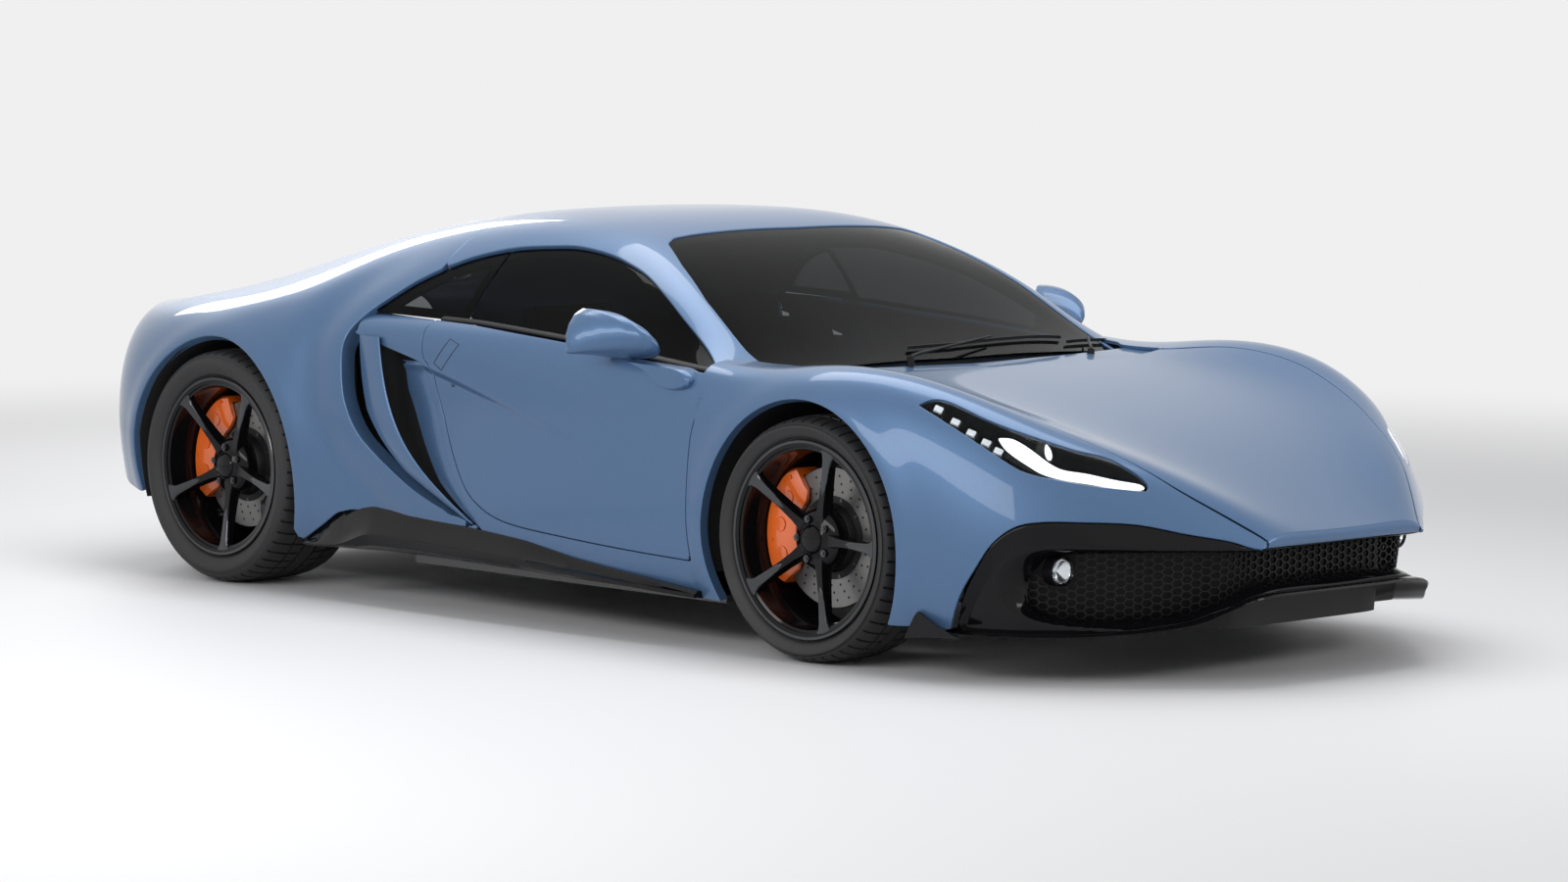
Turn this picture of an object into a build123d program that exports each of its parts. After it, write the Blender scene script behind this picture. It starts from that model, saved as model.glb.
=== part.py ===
from build123d import *
import math
import os

os.makedirs("parts", exist_ok=True)

# A two-seat mid-engined supercar. X points forward, Y to the car's left and Z up, in mm.
# The origin is on the ground, at the middle of the car's length and width.

# Driving dimensions
FRONT_AXLE_X = 1055.0
WHEELBASE = 2440.0
REAR_AXLE_X = FRONT_AXLE_X - WHEELBASE
NOSE_X = FRONT_AXLE_X + 1115.0
TAIL_X = REAR_AXLE_X - 785.0
SKIN = 10.0
GLASS = 5.0
GLASS_INSET = 6.0
GAP = 6.0

FRONT_TYRE_R = 330.0
FRONT_TYRE_WIDTH = 255.0
FRONT_TYRE_FACE_Y = 905.0
REAR_TYRE_R = 350.0
REAR_TYRE_WIDTH = 315.0
REAR_TYRE_FACE_Y = 945.0
RIM_R = 254.0
FLANGE_HEIGHT = 14.0
RIM_WALL = 9.0
SPOKES = 5
FRONT_ARCH_R = 372.0
REAR_ARCH_R = 388.0
LOCK_ROOM = 24.0

KINGPIN_Y = 715.0
DISC_R = 190.0
DISC_THICKNESS = 32.0
FRONT_DISC_DEPTH = 56.0
REAR_DISC_DEPTH = 60.0

DOOR_FRONT_X = FRONT_AXLE_X - 425.0
DOOR_REAR_X = REAR_AXLE_X + 890.0
DOOR_INNER_Y = 800.0
FLOOR_Z = 118.0
FLOOR_THICKNESS = 22.0

REACH = 1200.0
SECTION_STEPS = 10

# Sections across the body: the axle that a section is measured from, its distance ahead of that
# axle, then the half width and height of nine points from the sill up to the centre line.
# Columns: axle, ahead, sill, rocker, side, waist, shoulder, crest, slope, bonnet, centre
HULL = [
    ("R", 85, (840, 150), (870, 260), (850, 420), (835, 600), (865, 740),
     (850, 840), (700, 840), (350, 840), (0, 840)),
    ("R", 585, (870, 150), (900, 260), (860, 420), (835, 600), (880, 720),
     (890, 835), (700, 860), (350, 860), (0, 860)),
    ("F", -1355, (880, 150), (905, 260), (885, 430), (865, 600),
     (885, 720), (880, 835), (700, 850), (350, 850), (0, 850)),
    ("F", -755, (880, 145), (905, 260), (895, 430), (880, 600), (885, 710),
     (860, 815), (700, 820), (350, 820), (0, 820)),
    ("F", -355, (875, 140), (905, 260), (905, 430), (895, 600), (885, 700),
     (840, 780), (680, 775), (350, 775), (0, 772)),
    ("F", 0, (890, 140), (915, 280), (925, 450), (925, 620), (890, 772),
     (770, 806), (600, 736), (350, 735), (0, 732)),
    ("F", 395, (885, 140), (915, 260), (920, 400), (905, 580), (850, 732),
     (740, 772), (600, 690), (350, 668), (0, 665)),
    ("F", 695, (790, 150), (810, 240), (815, 340), (790, 460), (730, 600),
     (640, 655), (500, 620), (300, 585), (0, 580)),
    ("F", 925, (560, 160), (590, 230), (600, 310), (590, 380), (560, 450),
     (480, 538), (380, 525), (220, 490), (0, 485)),
    ("F", 1115, (330, 180), (340, 210), (345, 280), (345, 330), (340, 360),
     (300, 395), (220, 400), (120, 395), (0, 390)),
]
# Columns: axle, ahead, low, lower, middle, upper, waist, cant, edge, roof, centre
CANOPY = [
    ("F", -105, (900, 500), (880, 560), (860, 620), (830, 660), (790, 680),
     (720, 690), (560, 695), (300, 700), (0, 700)),
    ("F", -355, (900, 560), (880, 640), (865, 700), (835, 735), (790, 755),
     (710, 765), (580, 785), (300, 810), (0, 815)),
    ("F", -635, (900, 560), (885, 640), (870, 710), (825, 780), (760, 850),
     (700, 925), (560, 945), (300, 965), (0, 970)),
    ("F", -935, (900, 560), (885, 640), (870, 720), (810, 820), (720, 930),
     (620, 1045), (480, 1085), (250, 1105), (0, 1108)),
    ("F", -1305, (905, 560), (890, 640), (875, 730), (805, 850),
     (700, 985), (590, 1090), (450, 1130), (220, 1148), (0, 1150)),
    ("R", 785, (930, 480), (925, 600), (910, 720), (840, 850), (740, 970),
     (600, 1078), (440, 1118), (220, 1135), (0, 1137)),
    ("R", 435, (945, 300), (965, 450), (960, 620), (910, 790), (800, 915),
     (640, 1015), (450, 1070), (220, 1092), (0, 1095)),
    ("R", 0, (935, 260), (965, 400), (975, 580), (945, 745), (840, 845),
     (680, 895), (480, 962), (230, 1000), (0, 1008)),
    ("R", -365, (915, 250), (950, 380), (950, 540), (905, 710), (805, 805),
     (670, 845), (500, 856), (250, 880), (0, 888)),
    ("R", -615, (800, 280), (825, 400), (830, 530), (800, 670), (735, 765),
     (640, 808), (480, 815), (250, 815), (0, 815)),
    ("R", -785, (630, 330), (645, 420), (650, 530), (635, 660), (600, 745),
     (540, 795), (420, 800), (220, 800), (0, 800)),
]


def station(row):
    """The place along the car of one row of a section table."""
    return row[1] + (FRONT_AXLE_X if row[0] == "F" else REAR_AXLE_X)


def moved_in(points, inset):
    """An open outline from sill to centre, each point moved in along the mean of its two normals."""
    whole = points + [(-y, z) for y, z in reversed(points[:-1])]
    normals = []
    for (y0, z0), (y1, z1) in zip(whole, whole[1:]):
        run = math.hypot(y1 - y0, z1 - z0)
        normals.append(((z1 - z0) / run, (y0 - y1) / run))
    inner = []
    for place, (y, z) in enumerate(whole):
        before = normals[max(place - 1, 0)]
        after = normals[min(place, len(normals) - 1)]
        across, up = before[0] + after[0], before[1] + after[1]
        share = 2 * inset / (across * across + up * up)
        inner.append((y - across * share, z - up * share))
    return inner


def between(rows, x):
    """The section at x, from a smooth curve along the car through the same point of every row."""
    places = [station(row) for row in rows]
    last = len(rows) - 2
    left = max(0, min(last, sum(place <= x for place in places) - 1))
    span = places[left + 1] - places[left]
    t = (x - places[left]) / span
    points = []
    for column in range(2, len(rows[0])):
        value = []
        for axis in (0, 1):
            ends = [rows[left + i][column][axis] for i in (0, 1)]
            slopes = []
            for i in (left, left + 1):
                low, high = max(i - 1, 0), min(i + 1, len(rows) - 1)
                rise = rows[high][column][axis] - rows[low][column][axis]
                slopes.append(rise / (places[high] - places[low]) * span)
            value.append(
                ends[0] * (1 + 2 * t) * (1 - t) ** 2
                + slopes[0] * t * (1 - t) ** 2
                + ends[1] * t * t * (3 - 2 * t)
                + slopes[1] * t * t * (t - 1)
            )
        points.append(tuple(value))
    return points


def smoothed(points):
    """Points at equal shares along the clamped cubic B-spline that an outline's points steer."""
    spans = len(points) - 3
    knots = [0.0] * 3 + [number / spans for number in range(spans + 1)] + [1.0] * 3
    line = []
    for step in range(SECTION_STEPS + 1):
        share = step / SECTION_STEPS
        span = min(int(share * spans), spans - 1) + 3
        near = [points[span - 3 + i] for i in range(4)]
        for level in (1, 2, 3):
            for i in range(3, level - 1, -1):
                low, high = knots[span - 3 + i], knots[span + 1 + i - level]
                part = (share - low) / (high - low)
                near[i] = tuple(a * (1 - part) + b * part for a, b in zip(near[i - 1], near[i]))
        line.append(near[3])
    return line


def lofted(table, inset=0.0, open_below=0.0, front=0.0, rear=0.0):
    """One solid through a table's sections and one between each two, moved in by inset.

    The first and last sections move along by rear and front, and the lower edge down by open_below."""
    rows = sorted(table, key=station)
    places = [station(row) for row in rows]
    middles = [(low + high) / 2 for low, high in zip(places, places[1:])]
    rings = []
    for x in sorted(places + middles):
        points = moved_in(smoothed(between(rows, x)), inset)
        points[0] = (points[0][0], points[0][1] - open_below)
        points[-1] = (points[-1][0], points[-1][1] - open_below)
        moved_x = x + rear * (x == places[0]) + front * (x == places[-1])
        rings.append(Wire.make_polygon([(moved_x, y, z) for y, z in points], close=True))
    return Solid.make_loft(rings, ruled=True)


def outline(place, start, *runs):
    """A closed flat face. Each run is an end point, or a point on an arc and its end point."""
    edges = []
    at = start
    for run in runs + (start,):
        if isinstance(run[0], tuple):
            edges.append(Edge.make_three_point_arc(place(*at), place(*run[0]), place(*run[1])))
            at = run[1]
        elif math.dist(at, run) > 1e-6:
            edges.append(Edge.make_line(place(*at), place(*run)))
            at = run
    return Face(Wire(edges))


def seen_from_side(y0, y1, start, *runs):
    """A prism across the car whose outline is given in X and Z."""
    return Solid.extrude(outline(lambda x, z: Vector(x, y0, z), start, *runs), Vector(0, y1 - y0, 0))


def seen_from_above(z0, z1, start, *runs):
    """A prism up the car whose outline is given in X and Y."""
    return Solid.extrude(outline(lambda x, y: Vector(x, y, z0), start, *runs), Vector(0, 0, z1 - z0))


def box(x0, x1, y0, y1, z0, z1):
    return Solid.make_box(x1 - x0, y1 - y0, z1 - z0, Plane(origin=(x0, y0, z0)))


def across(x, y0, y1, z, radius):
    """A cylinder along Y."""
    return Solid.make_cylinder(radius, y1 - y0, Plane(origin=(x, y0, z), z_dir=(0, 1, 0)))


def other_side(shape):
    return shape.mirror(Plane.XZ)


def solids_of(shape):
    """The separate solids of a boolean's result."""
    if isinstance(shape, (list, tuple)):
        return [solid for item in shape for solid in item.solids()]
    return list(shape.solids())


def save(name, *shapes):
    solids = [solid for shape in shapes for solid in solids_of(shape) if solid.volume > 50]
    whole = solids[0] if len(solids) == 1 else Compound(children=solids)
    export_step(whole, f"parts/{name}.step")


# Outer and inner faces of the two lofts that every body panel is cut from
hull = lofted(HULL)
hull_inside = lofted(HULL, SKIN, 60, -SKIN, -60)
hull_skin = hull - hull_inside
canopy = lofted(CANOPY)
canopy_inside = lofted(CANOPY, SKIN, 60, 60, SKIN)
canopy_skin = canopy - canopy_inside


# Lines that the panels meet on
F = FRONT_AXLE_X
R = REAR_AXLE_X
BONNET_REAR_X = F - 100
COWL_FRONT_X = BONNET_REAR_X - GAP
NOSE_LIP_Z = 361.0
BONNET_OUTLINE = [
    (BONNET_REAR_X, 655), (F + 175, 683), (F + 435, 640), (F + 735, 545), (F + 1040, 352), (NOSE_X + 40, 300)]
SIDE_OPENING = [
    (F - 395, 747),
    ((F - 850, 986), (F - 1189, 1053)),
    ((R + 931, 1024), (R + 735, 944)),
    (R + 590, 822),
    ((R + 554, 760), (R + 569, 676)),
    ((R + 650, 500), (R + 820, 380)),
    (R + 1115, 262),
    (F - 395, 262),
]
BELT = [(F - 395, 742), (F - 1000, 800), (R + 595, 832)]
DOOR_OUTLINE = [
    (DOOR_FRONT_X, 900),
    (DOOR_FRONT_X, 228),
    (R + 1265, 282),
    ((R + 975, 500), (DOOR_REAR_X, 700)),
    (DOOR_REAR_X, 900),
]


def grown(points, distance):
    """A closed list of corners moved straight out from their middle by distance."""
    corners = [run[1] if isinstance(run[0], tuple) else run for run in points]
    middle = [sum(values) / len(corners) for values in zip(*corners)]

    def moved(point):
        away = math.dist(point, middle)
        return tuple(m + (p - m) * (1 + distance / away) for p, m in zip(point, middle))

    return [tuple(moved(p) for p in run) if isinstance(run[0], tuple) else moved(run) for run in points]


def both(points):
    """An outline seen from above, given for the left side and closed across to the right."""
    return points + [(x, -y) for x, y in reversed(points)]


side_opening = seen_from_side(-REACH, REACH, *SIDE_OPENING)
door_region = seen_from_side(-REACH, REACH, *DOOR_OUTLINE)
door_gap_region = seen_from_side(-REACH, REACH, *grown(DOOR_OUTLINE, GAP))
door_inner_region = seen_from_side(-REACH, REACH, *grown(DOOR_OUTLINE, -26))
bonnet_region = seen_from_above(0, REACH, *both(BONNET_OUTLINE))
BONNET_GAP_OUTLINE = [(x - GAP * (x == BONNET_REAR_X), y + GAP) for x, y in BONNET_OUTLINE]
bonnet_gap_region = seen_from_above(0, REACH, *both(BONNET_GAP_OUTLINE))
front_arch = across(F, -REACH, REACH, FRONT_TYRE_R, FRONT_ARCH_R)
rear_arch = across(R, -REACH, REACH, REAR_TYRE_R, REAR_ARCH_R)
glass_outside = lofted(CANOPY, GLASS_INSET, 60, 0, 0)
glass_inside = lofted(CANOPY, GLASS_INSET + GLASS, 90, 60, GLASS)
glass_shell = glass_outside - glass_inside
WINDSCREEN_BASE = (F - 300, 700)
WINDSCREEN_TOP = (F - 945, 515)
SCREEN_OUTLINE = [
    (F - 255, 0), WINDSCREEN_BASE, WINDSCREEN_TOP, (F - 930, 300), (F - 925, 0)]


def screen_region(distance):
    left = [(x + (distance if x > F - 600 else -distance), y + distance * (y > 0)) for x, y in SCREEN_OUTLINE]
    return seen_from_above(600, REACH, *left, *[(x, -y) for x, y in reversed(left[1:-1])])


# Front body: nose and wings in one moulding, open for the bonnet, lamps, wheels and screen
LAMP = [(F + 380, 880), (F + 385, 760), (F + 548, 772), (F + 737, 647), (F + 902, 532), (F + 865, 575),
        (F + 730, 740), (F + 640, 800)]
valance_line = seen_from_side(
    -REACH, REACH, (F + 1200, NOSE_LIP_Z), (F + 1090, NOSE_LIP_Z + 8), (F + 811, 431), (F + 700, 425),
    (F + 570, 300),
    (F + 515, 100), (F + 1200, 100))
lamp_region = seen_from_above(480, 900, *LAMP)
lamp_region_right = other_side(lamp_region)
wing_part = box(DOOR_FRONT_X + GAP, NOSE_X + 50, -REACH, REACH, 0, REACH)
cabin_top = box(R, COWL_FRONT_X, -700, 700, 500, REACH)
front_body = (hull_skin & wing_part) - bonnet_gap_region - front_arch - valance_line
front_body = front_body - lamp_region - lamp_region_right - cabin_top
save("front_body", front_body)

bonnet = (hull_skin & bonnet_region) - valance_line
save("bonnet", bonnet)

# Black lower front: a wall that follows the bumper, with one wide mouth, and the splitter under it.
# Each row is a place along the bumper from the centre line outwards.
BUMPER = [
    # x, y, splitter height, mouth bottom, mouth top, wall top, undertray x, undertray y
    (F + 1108, 0, 238, 257, 353, 361, F + 770, 0),
    (F + 1104, 326, 236, 255, 352, 366, F + 770, 300),
    (F + 1082, 384, 212, 220, 352, 382, F + 770, 360),
    (F + 1014, 474, 168, 182, 351, 404, F + 770, 400),
    (F + 918, 590, 148, 161, 351, 424, F + 700, 425),
    (F + 795, 712, 135, 160, 350, 430, F + 560, 425),
    (F + 742, 758, 133, 182, 344, 427, F + 520, 425),
    (F + 705, 788, 132, 215, 325, 420, F + 490, 425),
    (F + 592, 850, 131, None, None, 318, F + 440, 425),
    (F + 500, 878, 140, None, None, 150, F + 430, 430),
]
WALL_THICKNESS = 12.0
MOUTH_DEPTH = 52.0
RIB_SHARE = 0.05
SPLITTER_REACH = 30.0
SPLITTER_THICKNESS = 12.0
TRAY_Z = 118.0


def along_bumper(number):
    """The point and the outward direction of one row of the bumper, seen from above."""
    x, y = BUMPER[number][:2]
    x0, y0 = BUMPER[number - 1][:2] if number else (x, -BUMPER[1][1])
    x1, y1 = BUMPER[min(number + 1, len(BUMPER) - 1)][:2]
    run = math.dist((x0, y0), (x1, y1))
    return x, y, (y1 - y0) / run, (x0 - x1) / run


def bumper_ring(number, *corners):
    """A closed outline across the bumper at one row: each corner is a depth behind the wall and a height."""
    x, y, out_x, out_y = along_bumper(number)
    return [(x - out_x * depth, y - out_y * depth, z) for depth, z in corners]


def bumper_loft(rings):
    """One solid through outlines of the left half and their mirror images."""
    whole = [[(x, -y, z) for x, y, z in ring] for ring in reversed(rings[1:])] + rings
    return Solid.make_loft([Wire.make_polygon(ring, close=True) for ring in whole], ruled=True)


def bumper_slot(number, bottom, top, depths):
    """A cutter from one row to the next, short of both: bottom and top are shares of the mouth's height."""
    ends = []
    for row in (number, number + 1):
        foot, head = BUMPER[row][3:5]
        span = head - foot
        ends.append(bumper_ring(
            row, (depths[0], foot + bottom * span), (depths[0], foot + top * span),
            (depths[1], foot + top * span), (depths[1], foot + bottom * span)))
    rings = [
        Wire.make_polygon([
            tuple(a * (1 - share) + b * share for a, b in zip(*corner)) for corner in zip(*ends)], close=True)
        for share in (RIB_SHARE, 1 - RIB_SHARE)]
    return Solid.make_loft(rings, ruled=True)


wall_rings = [
    bumper_ring(number, (0, row[2] - 3), (0, row[5]), (WALL_THICKNESS, row[5]), (WALL_THICKNESS, row[2] - 3))
    for number, row in enumerate(BUMPER)]
mouth_rings = [
    bumper_ring(number, (-30, row[3]), (-30, row[4]), (30, row[4]), (30, row[3]))
    for number, row in enumerate(BUMPER) if row[3]]
splitter_rings = []
for number, row in enumerate(BUMPER):
    x, y, out_x, out_y = along_bumper(number)
    edge_x, edge_y = x + out_x * SPLITTER_REACH, y + out_y * SPLITTER_REACH
    splitter_rings.append([
        (edge_x, edge_y, row[2]), (edge_x, edge_y, row[2] - SPLITTER_THICKNESS),
        (row[6], row[7], TRAY_Z), (row[6], row[7], TRAY_Z + SPLITTER_THICKNESS)])
undertray = box(F + 430, F + 771, -431, 431, TRAY_Z, TRAY_Z + SPLITTER_THICKNESS)
valance = bumper_loft(wall_rings) - bumper_loft(mouth_rings)
valance = valance + bumper_loft(splitter_rings) + undertray
save("front_valance", valance - front_arch - front_body - bonnet)

# Grille: a plate behind the mouth with rows of openings between ribs
FOG_PLACE = Plane(origin=(F + 715, 692, 297), z_dir=(0.99, 0.14, 0))
FOG_R = 40.0
FOG_LENGTH = 38.0
fog_room = Solid.make_cylinder(FOG_R + 3, 200, FOG_PLACE.offset(-60))
grille_rings = [
    bumper_ring(
        number, (MOUTH_DEPTH, row[3] - 8), (MOUTH_DEPTH, row[4] + 6), (MOUTH_DEPTH + 8, row[4] + 6),
        (MOUTH_DEPTH + 8, row[3] - 8))
    for number, row in enumerate(BUMPER) if row[3]]
grille = bumper_loft(grille_rings)
GRILLE_LEVELS = 4
for number in range(len(grille_rings) - 2):
    for level in range(GRILLE_LEVELS):
        bottom, top = (level + 0.12) / GRILLE_LEVELS, (level + 0.88) / GRILLE_LEVELS
        opening = bumper_slot(number, bottom, top, (MOUTH_DEPTH - 5, MOUTH_DEPTH + 13))
        grille = grille - opening - other_side(opening)
save("front_grille", grille - fog_room - other_side(fog_room) - valance)

# Lamps: a closed housing in each wing, its clear cover, and a round fog lamp in each side mouth
cover_outside = lofted(HULL, 1.0)
cover_inside = lofted(HULL, 5.0, 60, -5, -60)
housing_outside = lofted(HULL, 30.0, 60, -30, -60)
lamp_opening = seen_from_above(480, 900, *grown(LAMP, -3)) - front_arch - bonnet_gap_region
cover = ((cover_outside - cover_inside) & lamp_opening) - front_body
housing = (housing_outside & lamp_opening) - lofted(HULL, 45.0, 60, -45, -60)
save("lamp_covers", cover, other_side(cover))
fog = Solid.make_cylinder(FOG_R, FOG_LENGTH, FOG_PLACE)
fog = fog - Solid.make_cylinder(FOG_R - 10, FOG_LENGTH, FOG_PLACE.offset(FOG_LENGTH - 12))
save("lamp_housings", housing, other_side(housing), fog, other_side(fog))

# Cabin shell: roof, screen pillars and the frame round the doors
ROOF_REAR_X = R + 800
roof_part = box(ROOF_REAR_X, F - 330, -REACH, REACH, 600, REACH)
below_belt = seen_from_side(-REACH, REACH, (F + 50, 742), *BELT, (R + 440, 832), (R + 440, 0), (F + 50, 0))
roof = (canopy_skin & roof_part) - side_opening - screen_region(0) - below_belt
cabin_inside = lofted(CANOPY, 2 * SKIN, 60, 60, 2 * SKIN)
pillar_foot = box(F - 387, F - 330, 702, 745, 640, 780) & canopy_inside
pillar_foot = pillar_foot + box(F - 405, F - 330, 640, 704, 640, 700)
HOOP_REAR_X = ROOF_REAR_X
HOOP_FRONT_X = ROOF_REAR_X + 50
hoop_band = cabin_inside - lofted(CANOPY, 4.5 * SKIN, 60, 60, 0)
hoop = hoop_band & box(HOOP_REAR_X, HOOP_FRONT_X, -REACH, REACH, 530, REACH)
hoop = hoop + (canopy_inside & box(HOOP_REAR_X, HOOP_FRONT_X, -440, 440, 1075, REACH))
for side in (-1, 1):
    low, high = sorted((side * 700, side * 765))
    hoop = hoop + box(HOOP_REAR_X, HOOP_FRONT_X, low, high, FLOOR_Z + FLOOR_THICKNESS + 160, 560)
    low, high = sorted((side * 700, side * 880))
    hoop = hoop + (cabin_inside & box(HOOP_REAR_X, HOOP_FRONT_X, low, high, 530, 560))
roof_whole = (roof + pillar_foot + other_side(pillar_foot) + hoop) - front_body
save("roof_frame", roof_whole)

# Glass fixed to the shell: the windscreen and a small pane behind each door
QUARTER_X = R + 1000
side_glass = (glass_shell & seen_from_side(0, REACH, *grown(SIDE_OPENING, -GAP))) - below_belt
door_glass = side_glass & box(QUARTER_X + GAP / 2, F, 0, REACH, 600, REACH)
quarter_glass = side_glass & box(R, QUARTER_X - GAP / 2, 0, REACH, 600, REACH)
windscreen = glass_shell & screen_region(-GAP)
save("fixed_glass", windscreen, quarter_glass, other_side(quarter_glass))

# Doors: a pressed skin, a deep inner box with a narrower edge, the frameless glass and the mirror
door_box_line = seen_from_side(0, REACH, *grown(DOOR_OUTLINE, -30)) & box(R, F, 0, REACH, 0, 735)
left = box(R, F, 0, REACH, 0, REACH)
door_skin = (hull_skin & door_region & left) - canopy
door_inner = (hull_inside & door_box_line) - box(R, F, 0, DOOR_INNER_Y, 0, REACH)
door = door_skin + door_inner
save("door_left", door)
save("door_right", other_side(door))
save("door_glass_left", door_glass)
save("door_glass_right", other_side(door_glass))

# Mirrors: a rounded shell, flat at the back for its glass, on a flat arm from each door
MIRROR = [
    # y, rear x, front x, lower z, upper z
    (840, F - 730, F - 615, 768, 800),
    (862, F - 770, F - 590, 763, 850),
    (900, F - 804, F - 612, 765, 902),
    (940, F - 822, F - 668, 770, 902),
    (975, F - 826, F - 728, 775, 870),
    (1000, F - 822, F - 790, 780, 826),
]
mirror_rings = []
for mirror_y, rear, front, low, high in MIRROR:
    deep, tall = front - rear, high - low
    shape = [(0, 0), (0.62, 0), (0.95, 0.25), (1, 0.5), (0.84, 0.8), (0.5, 0.97), (0.06, 1), (0, 0.92)]
    mirror_rings.append(Wire.make_polygon(
        [(rear + deep * share, mirror_y, low + tall * rise) for share, rise in shape], close=True))
mirror = Solid.make_loft(mirror_rings, ruled=True)
ARM_INNER_Y = 838.0
ARM_WIDTH = 52.0
arm = Solid.extrude(
    outline(
        lambda x, z: Vector(x, ARM_INNER_Y, z), (F - 700, 768), (F - 565, 762), (F - 475, 755),
        (F - 445, 727), (F - 458, 707), (F - 515, 697), (F - 585, 713), (F - 615, 742)),
    Vector(0, ARM_WIDTH, 0))
mirror = (mirror + arm) - hull - canopy
save("mirror_left", mirror)
save("mirror_right", other_side(mirror))

# Fixed side panels: the blade over the intake, the strip behind the door and the sill below it
blade_line = seen_from_side(
    0, REACH, (DOOR_REAR_X - 40, 900), (R + 595, 900), (R + 592, 776), (DOOR_REAR_X - 40, 690),
    (R + 940, 500),
    (R + 1030, 390), (R + 1095, 300), (R + 1165, 200), (DOOR_FRONT_X, 140), (DOOR_FRONT_X, 900))
panel_depth = lofted(HULL, 45.0, 60, -45, -60)
side_room = seen_from_side(0, REACH, *grown(SIDE_OPENING, -GAP)) + box(R, F, 0, REACH, 0, 262)
side_panel = ((hull - panel_depth) & blade_line & side_room & below_belt) - door_gap_region
side_panel = (side_panel - roof_whole) & box(R, F, 700, REACH, 0, REACH)
VANE = [
    # leading edge: x, y, z
    (R + 705, 890, 764),
    (R + 725, 900, 660),
    (R + 790, 910, 530),
    (R + 885, 914, 425),
    (R + 1000, 908, 340),
    (R + 1105, 900, 274),
]
VANE_LENGTH = 105.0
VANE_THICKNESS = 8.0
VANE_BACK = (-0.80, -0.60)
vane_rings = []
back_x, back_y = (share * VANE_LENGTH for share in VANE_BACK)
thick_x, thick_y = -VANE_BACK[1] * VANE_THICKNESS, VANE_BACK[0] * VANE_THICKNESS
for x, y, z in VANE:
    vane_rings.append(Wire.make_polygon([
        (x, y, z), (x + back_x, y + back_y, z), (x + back_x + thick_x, y + back_y + thick_y, z),
        (x + thick_x, y + thick_y, z)], close=True))
vane = Solid.make_loft(vane_rings, ruled=True)
vane_pieces = (vane - canopy_skin - side_panel) & box(R, F, 700, REACH, 0, REACH)
vane = max(vane_pieces.solids(), key=lambda piece: piece.volume)
side_parts = [side_panel, vane]
save("side_panels", *side_parts, *[other_side(piece) for piece in side_parts])

# Rear body: the quarters, the deck and the frame of the engine lid
LID_FRONT_X = ROOF_REAR_X - 70
LID_REAR_X = R - 440
LID = [(LID_FRONT_X, 0), (LID_FRONT_X, 395), (R - 60, 400), (LID_REAR_X, 430), (LID_REAR_X, 0)]


def lid_prism(distance):
    left = [(x + (distance if x > R else -distance), y + distance * (y > 0)) for x, y in LID]
    return seen_from_above(500, REACH, *left, *[(x, -y) for x, y in reversed(left[1:-1])])


TAIL_WALL_X = R - 700
tail_opening = seen_from_side(
    -REACH, REACH, (TAIL_X - 30, 690), (TAIL_WALL_X, 690), (TAIL_WALL_X, 330), (R - 560, 100),
    (TAIL_X - 30, 100))
rear_part = box(TAIL_X - 20, ROOF_REAR_X - GAP, -REACH, REACH, 0, REACH)
quarter_part = box(TAIL_X - 20, R + 1115, -REACH, REACH, 160, 700)
rear_body = canopy_skin & (rear_part + quarter_part)
rear_body = rear_body - side_opening - rear_arch - lid_prism(GAP) - tail_opening
save("rear_body", rear_body - side_panel - other_side(side_panel))

lid = canopy_skin & lid_prism(0)
SLOTS = 5
SLOT_PITCH = 120.0
for number in range(SLOTS):
    slot_x = LID_FRONT_X - 330 - number * SLOT_PITCH
    lid = lid - box(slot_x - 30, slot_x + 30, -300, 300, 600, REACH)
save("engine_lid", lid)

# Tail: black panel, lamps, diffuser and pipes
PANEL_X = TAIL_WALL_X - 25
tail_inside = lofted(CANOPY, SKIN + 2, 60, 60, SKIN + 2)
tail_panel = box(PANEL_X, PANEL_X + 15, -640, 640, 380, 680) & tail_inside
save("rear_grille", tail_panel)
tail_lamps = []
for lamp_y in (420, 545):
    lamp = Solid.make_cylinder(50, 30, Plane(origin=(PANEL_X, lamp_y, 600), z_dir=(-1, 0, 0)))
    tail_lamps.append(lamp)
tail_lamps = [lamp & tail_inside for lamp in tail_lamps]
save("tail_lamps", *tail_lamps, *[other_side(lamp) for lamp in tail_lamps])
diffuser = seen_from_side(
    -560, 560, (R - 430, 118), (R - 430, 140), (PANEL_X, 372), (PANEL_X - 40, 372), (PANEL_X - 40, 300),
    (PANEL_X - 20, 280))
for fin_y in (-420, -210, 0, 210, 420):
    diffuser = diffuser + seen_from_side(
        fin_y - 6, fin_y + 6, (R - 430, 118), (PANEL_X - 20, 280), (PANEL_X - 40, 300), (PANEL_X - 30, 170))
save("diffuser", diffuser)
PIPE_LENGTH = 55.0
PIPE_R = 45.0
PIPE_WALL = 5.0
PIPE_Y = 315.0
PIPE_Z = 450.0
pipes = []
for pipe_y in (-PIPE_Y, PIPE_Y):
    pipe_place = Plane(origin=(PANEL_X - 15, pipe_y, PIPE_Z), z_dir=(-1, 0, 0))
    pipe_hole = Solid.make_cylinder(PIPE_R - PIPE_WALL, PIPE_LENGTH, pipe_place.offset(10))
    pipes.append(Solid.make_cylinder(PIPE_R, PIPE_LENGTH, pipe_place) - pipe_hole)
save("exhaust_pipes", *[pipe - tail_panel for pipe in pipes])

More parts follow.
